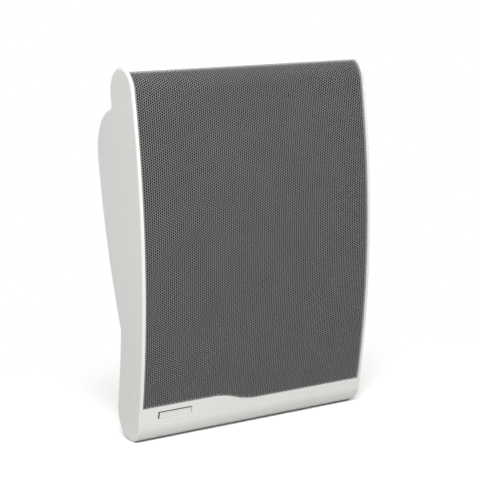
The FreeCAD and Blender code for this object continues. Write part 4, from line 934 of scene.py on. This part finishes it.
class SPEAKER_OT_grille(bpy.types.Operator):
    """Build the perforated grille in bands, and its side skirts"""
    bl_idname = "speaker.grille"
    bl_label = "Grille"

    def execute(self, context):
        sizes = context.scene.speaker_sizes
        curve = FrontCurve(sizes, sizes.grille_inset, sizes.grille_gap)
        sheet = built("perforated sheet", perforated_group)
        half_width = sizes.opening_width / 2 - sizes.grille_gap
        column = sizes.hole_pitch * math.sqrt(3) / 2
        columns = 2 * math.ceil(half_width / column) + SPARE_COLUMNS
        rows = 2 * math.ceil(max(curve.top, -curve.foot) / sizes.hole_pitch) + SPARE_ROWS
        top_row = curve.top - sizes.end_margin - sizes.hole_radius * HEX_FLAT
        values = {"Pitch": sizes.hole_pitch, "Hole Radius": sizes.hole_radius,
                  "Gauge": sizes.sheet_gauge, "Half Width": half_width, "Top": curve.top,
                  "Side Margin": sizes.side_margin, "End Margin": sizes.end_margin,
                  "Columns": columns, "Rows": rows,
                  "Row Shift": math.fmod(top_row, sizes.hole_pitch) - WELD,
                  "Material": finish_for("grille_paint"), **curve.inputs(sizes)}
        step = (curve.top - curve.foot) / GRILLE_BANDS
        ends = [curve.foot + band * step for band in range(GRILLE_BANDS + 1)]
        ends[0] = curve.foot - sizes.slab_depth
        ends[-1] = curve.top + sizes.slab_depth
        for band, (low, high) in enumerate(zip(ends, ends[1:]), 1):
            piece = run_geometry(f"grille_band_{band}", sheet,
                                 {**values, "Band Low": low, "Band High": high})
            settle(piece, "housing", "grille_paint", "grille")
        settle(self.skirts(sizes, curve, half_width), "housing", "grille_paint", "grille")
        return {"FINISHED"}

    def skirts(self, sizes, curve, half_width):
        """The folded sides, from the back of the sheet towards the baffle."""
        reach = curve.crown - sizes.sheet_gauge
        top = curve.along_crown(math.acos((curve.end_depth - sizes.skirt_back) / reach))
        mesh = bmesh.new()
        for side, chin in ((-1, curve.chin_left), (1, curve.chin_right)):
            rings = []
            foot = curve.along_face(chin)
            for index in range(SKIRT_STEPS):
                along = foot + (top - foot) * index / SKIRT_STEPS
                front = [curve.point(side * (half_width - depth), along, sizes.sheet_gauge)
                         for depth in (0.0, sizes.grille_gauge)]
                ring = [mesh.verts.new(point) for point in front]
                for point in reversed(front):
                    flat = SLAB_PLACE.inverted() @ point
                    flat.y = sizes.skirt_back
                    ring.append(mesh.verts.new(SLAB_PLACE @ flat))
                rings.append(ring)
            mesh.faces.new(rings[0])
            mesh.faces.new(rings[-1])
            for lower, upper in zip(rings, rings[1:]):
                for corner in range(4):
                    following = (corner + 1) % 4
                    mesh.faces.new((lower[corner], lower[following], upper[following], upper[corner]))
        bmesh.ops.recalc_face_normals(mesh, faces=mesh.faces)
        return mesh_piece("grille_skirts", mesh, "grille_paint")


class SPEAKER_OT_cloth(bpy.types.Operator):
    """Stretch the dust cloth behind the grille"""
    bl_idname = "speaker.cloth"
    bl_label = "Dust Cloth"

    def execute(self, context):
        sizes = context.scene.speaker_sizes
        gap = sizes.grille_gap
        inset = sizes.grille_inset + sizes.grille_gauge + gap
        curve = FrontCurve(sizes, inset, 2 * gap)
        width = sizes.opening_width - 2 * (2 * gap + sizes.grille_gauge)
        piece = run_geometry("stretched_cloth", built("stretched cloth", cloth_group), {
            "Gauge": sizes.cloth_gauge, "Half Width": width / 2, "Foot": curve.foot, "Top": curve.top,
            "Columns": CLOTH_COLUMNS, "Rows": CLOTH_ROWS, "Material": finish_for("black_cloth"),
            **curve.inputs(sizes)})
        settle(piece, "housing", "black_cloth", "dust_cloth")
        return {"FINISHED"}


class SPEAKER_OT_plate(bpy.types.Operator):
    """Finish the blank plate on the chin"""
    bl_idname = "speaker.plate"
    bl_label = "Blank Plate"

    def execute(self, context):
        sizes = context.scene.speaker_sizes
        mesh = softened_copy("nameplate", sizes.plate_bevel)
        front = max(mesh.faces, key=lambda face: face.calc_area() * (face.normal.y < 0))
        for thickness, depth in ((sizes.plate_rim, 0.0), (sizes.plate_sink, -sizes.plate_sink)):
            bmesh.ops.inset_region(mesh, faces=[front], thickness=thickness, depth=depth)
        settle(mesh_piece("blank_plate", mesh, "plate_metal"), "housing", "plate_metal", "nameplate")
        return {"FINISHED"}


class SPEAKER_OT_driver(bpy.types.Operator):
    """Finish the baffle, the driver and the leads"""
    bl_idname = "speaker.driver"
    bl_label = "Driver"

    def execute(self, context):
        for slot, *nodes in (
                ("fibre_board", "baffle"), ("frame_paint", "driver_frame"),
                ("gasket_foam", "driver_gasket"), ("cone_paper", "cone", "whizzer_cone", "dust_cap"),
                ("former_foil", "coil_former"), ("winding_copper", "voice_coil"),
                ("zinc_steel", "top_plate", "pole_yoke"), ("ferrite", "magnet"),
                ("tag_fibre", "tag_board"), ("tinned_brass", "solder_tags"),
                ("wire_red", "lead_red"), ("wire_black", "lead_black")):
            dress(slot, *nodes)
        bent_ring("rolled_surround", "surround", "surround_rubber")
        bent_ring("ribbed_spider", "spider", "spider_cloth")
        bent_strip("loose_leads", "flex_leads", "winding_copper", "cone_assembly",
                   fixed=0.9, moved=0.1)
        return {"FINISHED"}


class SPEAKER_OT_terminals(bpy.types.Operator):
    """Finish the terminal cup, its contacts and its levers"""
    bl_idname = "speaker.terminals"
    bl_label = "Terminals"

    def execute(self, context):
        sizes = context.scene.speaker_sizes
        dress("terminal_black", "terminal_cup")
        for name in ("red", "black"):
            body, slot = f"{name}_lever", f"terminal_{name}"
            bent_strip(f"spring_contact_{name}", f"contact_{name}", "tinned_brass", body,
                       fixed=0.5, moved=0.97)
            mesh = softened_copy(f"lever_{name}", sizes.lever_bevel)
            settle(mesh_piece(f"press_lever_{name}", mesh, slot), body, slot, f"lever_{name}")
        return {"FINISHED"}


class SPEAKER_OT_hanger(bpy.types.Operator):
    """Finish the keyhole plate"""
    bl_idname = "speaker.hanger"
    bl_label = "Keyhole Plate"

    def execute(self, context):
        dress("zinc_steel", "hanger_plate")
        return {"FINISHED"}


def screws_group():
    """A level pattern of like screws, turned and set in place."""
    tree, given, result = new_group(
        "Geometry", "screw pattern",
        {"Screw": "Object", "Columns": "Int", "Rows": "Int", **floats("Wide", "Tall"),
         "Turn": "Vector", "Place": "Vector", "Material": "Material"}, GEOMETRY)
    grid = tree.shape("MeshGrid", {"Size X": given["Wide"], "Size Y": given["Tall"],
                                   "Vertices X": given["Columns"], "Vertices Y": given["Rows"]})
    screw = tree.add("GeometryNodeObjectInfo", {"Object": given["Screw"], "As Instance": True})
    spin = tree.add("FunctionNodeRandomValue", {"Max": 1.5, "Seed": 4}, data_type="FLOAT")
    turned = tree.vector(0.0, 0.0, [out for out in spin.outputs if out.type == "VALUE"][0])
    screws = tree.shape("InstanceOnPoints", {
        "Points": grid, "Instance": screw.outputs["Geometry"], "Rotation": turned})
    placed = tree.shape("Transform", {
        "Geometry": tree.shape("RealizeInstances", {"Geometry": screws}), "Rotation": given["Turn"],
        "Translation": given["Place"]})
    return finish_result(tree, given, result, placed)


def turned_mesh(outline):
    """A closed round mesh from an outline of radius and height."""
    mesh = bmesh.new()
    verts = [mesh.verts.new((radius, 0.0, height)) for radius, height in outline]
    edges = [mesh.edges.new(pair) for pair in zip(verts, verts[1:])]
    bmesh.ops.spin(mesh, geom=verts + edges, cent=(0, 0, 0), axis=(0, 0, 1), angle=2 * math.pi,
                   steps=SCREW_STEPS, use_duplicate=False)
    bmesh.ops.remove_doubles(mesh, verts=mesh.verts, dist=WELD)
    bmesh.ops.recalc_face_normals(mesh, faces=mesh.faces)
    return mesh


def cross_screw(sizes, head_height, shank):
    """A pan-headed screw with a cross recess, its seat at height 0 and its head above."""
    radius, shank_radius = sizes.head_radius, sizes.shank_radius
    wall = head_height * HEAD_WALL
    outline = [(0.0, head_height)]
    for index in range(1, HEAD_STEPS + 1):
        angle = math.pi / 2 * index / HEAD_STEPS
        outline.append((radius * math.sin(angle), wall + (head_height - wall) * math.cos(angle)))
    outline += [(radius, 0.0), (shank_radius, 0.0), (shank_radius, shank_radius - shank),
                (0.0, -shank)]
    screw = mesh_piece("screw", turned_mesh(outline), "zinc_steel")
    cutter = bmesh.new()
    for axis in range(2):
        span = [sizes.recess_width, sizes.recess_width, head_height * RECESS_DEPTH * 2]
        span[axis] = sizes.recess_length
        bmesh.ops.create_cube(cutter, size=1.0, matrix=Matrix.Translation((0, 0, head_height))
                              @ Matrix.Diagonal((*span, 1.0)))
    recess = mesh_piece("recess", cutter, "zinc_steel")
    cut = screw.modifiers.new("recess", "BOOLEAN")
    cut.object = recess
    cut.solver = "EXACT"
    cut.use_self = True
    plain_mesh(screw)
    bpy.data.objects.remove(recess)
    return screw


class SPEAKER_OT_screws(bpy.types.Operator):
    """Build the cross-recessed screws, each group as one piece"""
    bl_idname = "speaker.screws"
    bl_label = "Screws"

    def execute(self, context):
        sizes = context.scene.speaker_sizes
        back, front = (Matrix.Rotation(side * math.pi / 2, 4, "X") for side in (-1, 1))
        pattern = built("screw pattern", screws_group)
        groups = (("hanger_screws", Matrix.Identity(4), back, 2, 2, LOW_HEAD),
                  ("terminal_screws", SLAB_PLACE, back, 2, 1, PAN_HEAD),
                  ("driver_screws", SLAB_PLACE, front, 2, 2, PAN_HEAD),
                  ("baffle_screws", SLAB_PLACE, front, 2, 3, PAN_HEAD))
        for node, local, facing, columns, rows, head_height in groups:
            low, high = box_in(node, local)
            spread = high - low
            screw = cross_screw(sizes, head_height, spread.y - head_height)
            seat = (low + high) / 2
            seat.y = high.y - head_height if facing is back else low.y + head_height
            piece = run_geometry(f"cross_{node}", pattern, {
                "Screw": screw, "Columns": columns, "Rows": rows,
                "Wide": spread.x - 2 * sizes.head_radius, "Tall": spread.z - 2 * sizes.head_radius,
                "Turn": (local @ facing).to_euler(), "Place": local @ seat,
                "Material": finish_for("zinc_steel")})
            bpy.data.objects.remove(screw)
            settle(piece, "housing", "zinc_steel", node)
        return {"FINISHED"}


# Stage

def seen_by(tree, *rays):
    """1 for the named rays, and 0 for the others."""
    path = tree.add("ShaderNodeLightPath").outputs
    seen = path[f"Is {rays[0]} Ray"]
    for ray in rays[1:]:
        seen = tree.math("MAXIMUM", seen, path[f"Is {ray} Ray"])
    return seen


class SPEAKER_OT_stage(bpy.types.Operator):
    """Set the floor, the light and the camera"""
    bl_idname = "speaker.stage"
    bl_label = "Stage"

    def execute(self, context):
        stage = context.scene.speaker_stage
        context.scene.view_settings.view_transform = "Standard"
        self.world(context, stage)
        self.floor(stage)
        self.lamp("key lamp", stage, stage.key_place, stage.key_power)
        self.lamp("back lamp", stage, stage.back_place, stage.back_power)
        self.camera(context, stage)
        return {"FINISHED"}

    def world(self, context, stage):
        """A sky that is brighter to one side, and is seen as plain white."""
        world = bpy.data.worlds.new("studio")
        context.scene.world = world
        tree = node_tree(world)
        where = tree.add("ShaderNodeTexCoord").outputs["Generated"]
        bright = Vector(stage.sky_side).normalized()
        towards = tree.add("ShaderNodeVectorMath", {0: where, 1: bright}, operation="DOT_PRODUCT")
        fall = tree.span(towards.outputs["Value"], stage.sky_dim, stage.sky_bright, start=-1.0)
        light, shown = (tree.out("ShaderNodeBackground", {"Color": WHITE, "Strength": strength})
                        for strength in (fall, 1.0))
        seen = seen_by(tree, "Camera", "Glossy", "Transmission")
        tree.add("ShaderNodeOutputWorld", {"Surface": tree.mix_shaders(seen, light, shown)})

    def floor(self, stage):
        """A floor that fades to white round the speaker, where it is seen."""
        half = stage.floor_size / 2
        level = CAD_BOX[0][2]
        data = bpy.data.meshes.new("floor")
        sides = ((-half, -half), (half, -half), (half, half), (-half, half))
        data.from_pydata([(*side, level) for side in sides], [], [(0, 1, 2, 3)])
        material = bpy.data.materials.new("pale floor")
        tree = node_tree(material)
        lit, shown = (tree.out("ShaderNodeBsdfDiffuse", {"Color": (*[tone] * 3, 1.0)})
                      for tone in (stage.floor_tone, stage.floor_shown))
        flat = object_place(tree, scale=(1, 1, 0))
        reach = tree.add("ShaderNodeVectorMath", {0: flat}, operation="LENGTH").outputs["Value"]
        fade = tree.span(reach, start=stage.floor_near, stop=stage.floor_far)
        white = tree.out("ShaderNodeEmission", {"Color": WHITE, "Strength": 1.0})
        seen = seen_by(tree, "Camera", "Transmission")
        mixed = tree.mix_shaders(seen, lit, tree.mix_shaders(fade, shown, white))
        tree.add("ShaderNodeOutputMaterial", {"Surface": mixed})
        data.materials.append(material)
        link_object("floor", data)

    def lamp(self, name, stage, at, watts):
        """A soft square lamp that shines on the speaker."""
        data = bpy.data.lights.new(name, "AREA")
        data.size = stage.lamp_side
        data.energy = watts
        data.color = WARM
        lamp = link_object(name, data)
        lamp.location = at
        ahead = Vector(stage.camera_aim) - Vector(at)
        lamp.rotation_euler = ahead.to_track_quat("-Z", "Y").to_euler()

    def camera(self, context, stage):
        """The camera of the picture."""
        data = bpy.data.cameras.new("camera")
        data.sensor_width = SENSOR
        data.lens = stage.camera_focus * SENSOR / FRAME_SIDE
        camera = link_object("camera", data)
        camera.location = stage.camera_place
        ahead = Vector(stage.camera_aim) - Vector(stage.camera_place)
        aimed = ahead.to_track_quat("-Z", "Y") @ Quaternion((0, 0, 1), stage.camera_roll)
        camera.rotation_euler = aimed.to_euler()
        context.scene.camera = camera


OPERATORS = (SPEAKER_OT_stage, SPEAKER_OT_cabinet, SPEAKER_OT_grille, SPEAKER_OT_cloth,
             SPEAKER_OT_plate, SPEAKER_OT_driver, SPEAKER_OT_terminals, SPEAKER_OT_hanger,
             SPEAKER_OT_screws)


class SPEAKER_PT_panel(bpy.types.Panel):
    """Pieces and sizes of the wall speaker"""
    bl_label = "Wall Speaker"
    bl_space_type = "VIEW_3D"
    bl_region_type = "UI"
    bl_category = "Speaker"

    def draw(self, context):
        for operator in OPERATORS:
            self.layout.operator(operator.bl_idname)
        for group in (context.scene.speaker_sizes, context.scene.speaker_colours,
                      context.scene.speaker_stage):
            box = self.layout.box()
            for name in group.bl_rna.properties.keys():
                if name not in ("rna_type", "name"):
                    box.prop(group, name)


CLASSES = (SpeakerSizes, SpeakerColours, SpeakerStage, *OPERATORS, SPEAKER_PT_panel)


def register():
    for item in CLASSES:
        bpy.utils.register_class(item)
    bpy.types.Scene.speaker_sizes = PointerProperty(type=SpeakerSizes)
    bpy.types.Scene.speaker_colours = PointerProperty(type=SpeakerColours)
    bpy.types.Scene.speaker_stage = PointerProperty(type=SpeakerStage)


def unregister():
    del bpy.types.Scene.speaker_stage
    del bpy.types.Scene.speaker_colours
    del bpy.types.Scene.speaker_sizes
    for item in reversed(CLASSES):
        bpy.utils.unregister_class(item)


def main():
    register()
    for operator in OPERATORS:
        family, name = operator.bl_idname.split(".")
        getattr(getattr(bpy.ops, family), name)()


if __name__ == "__main__":
    main()
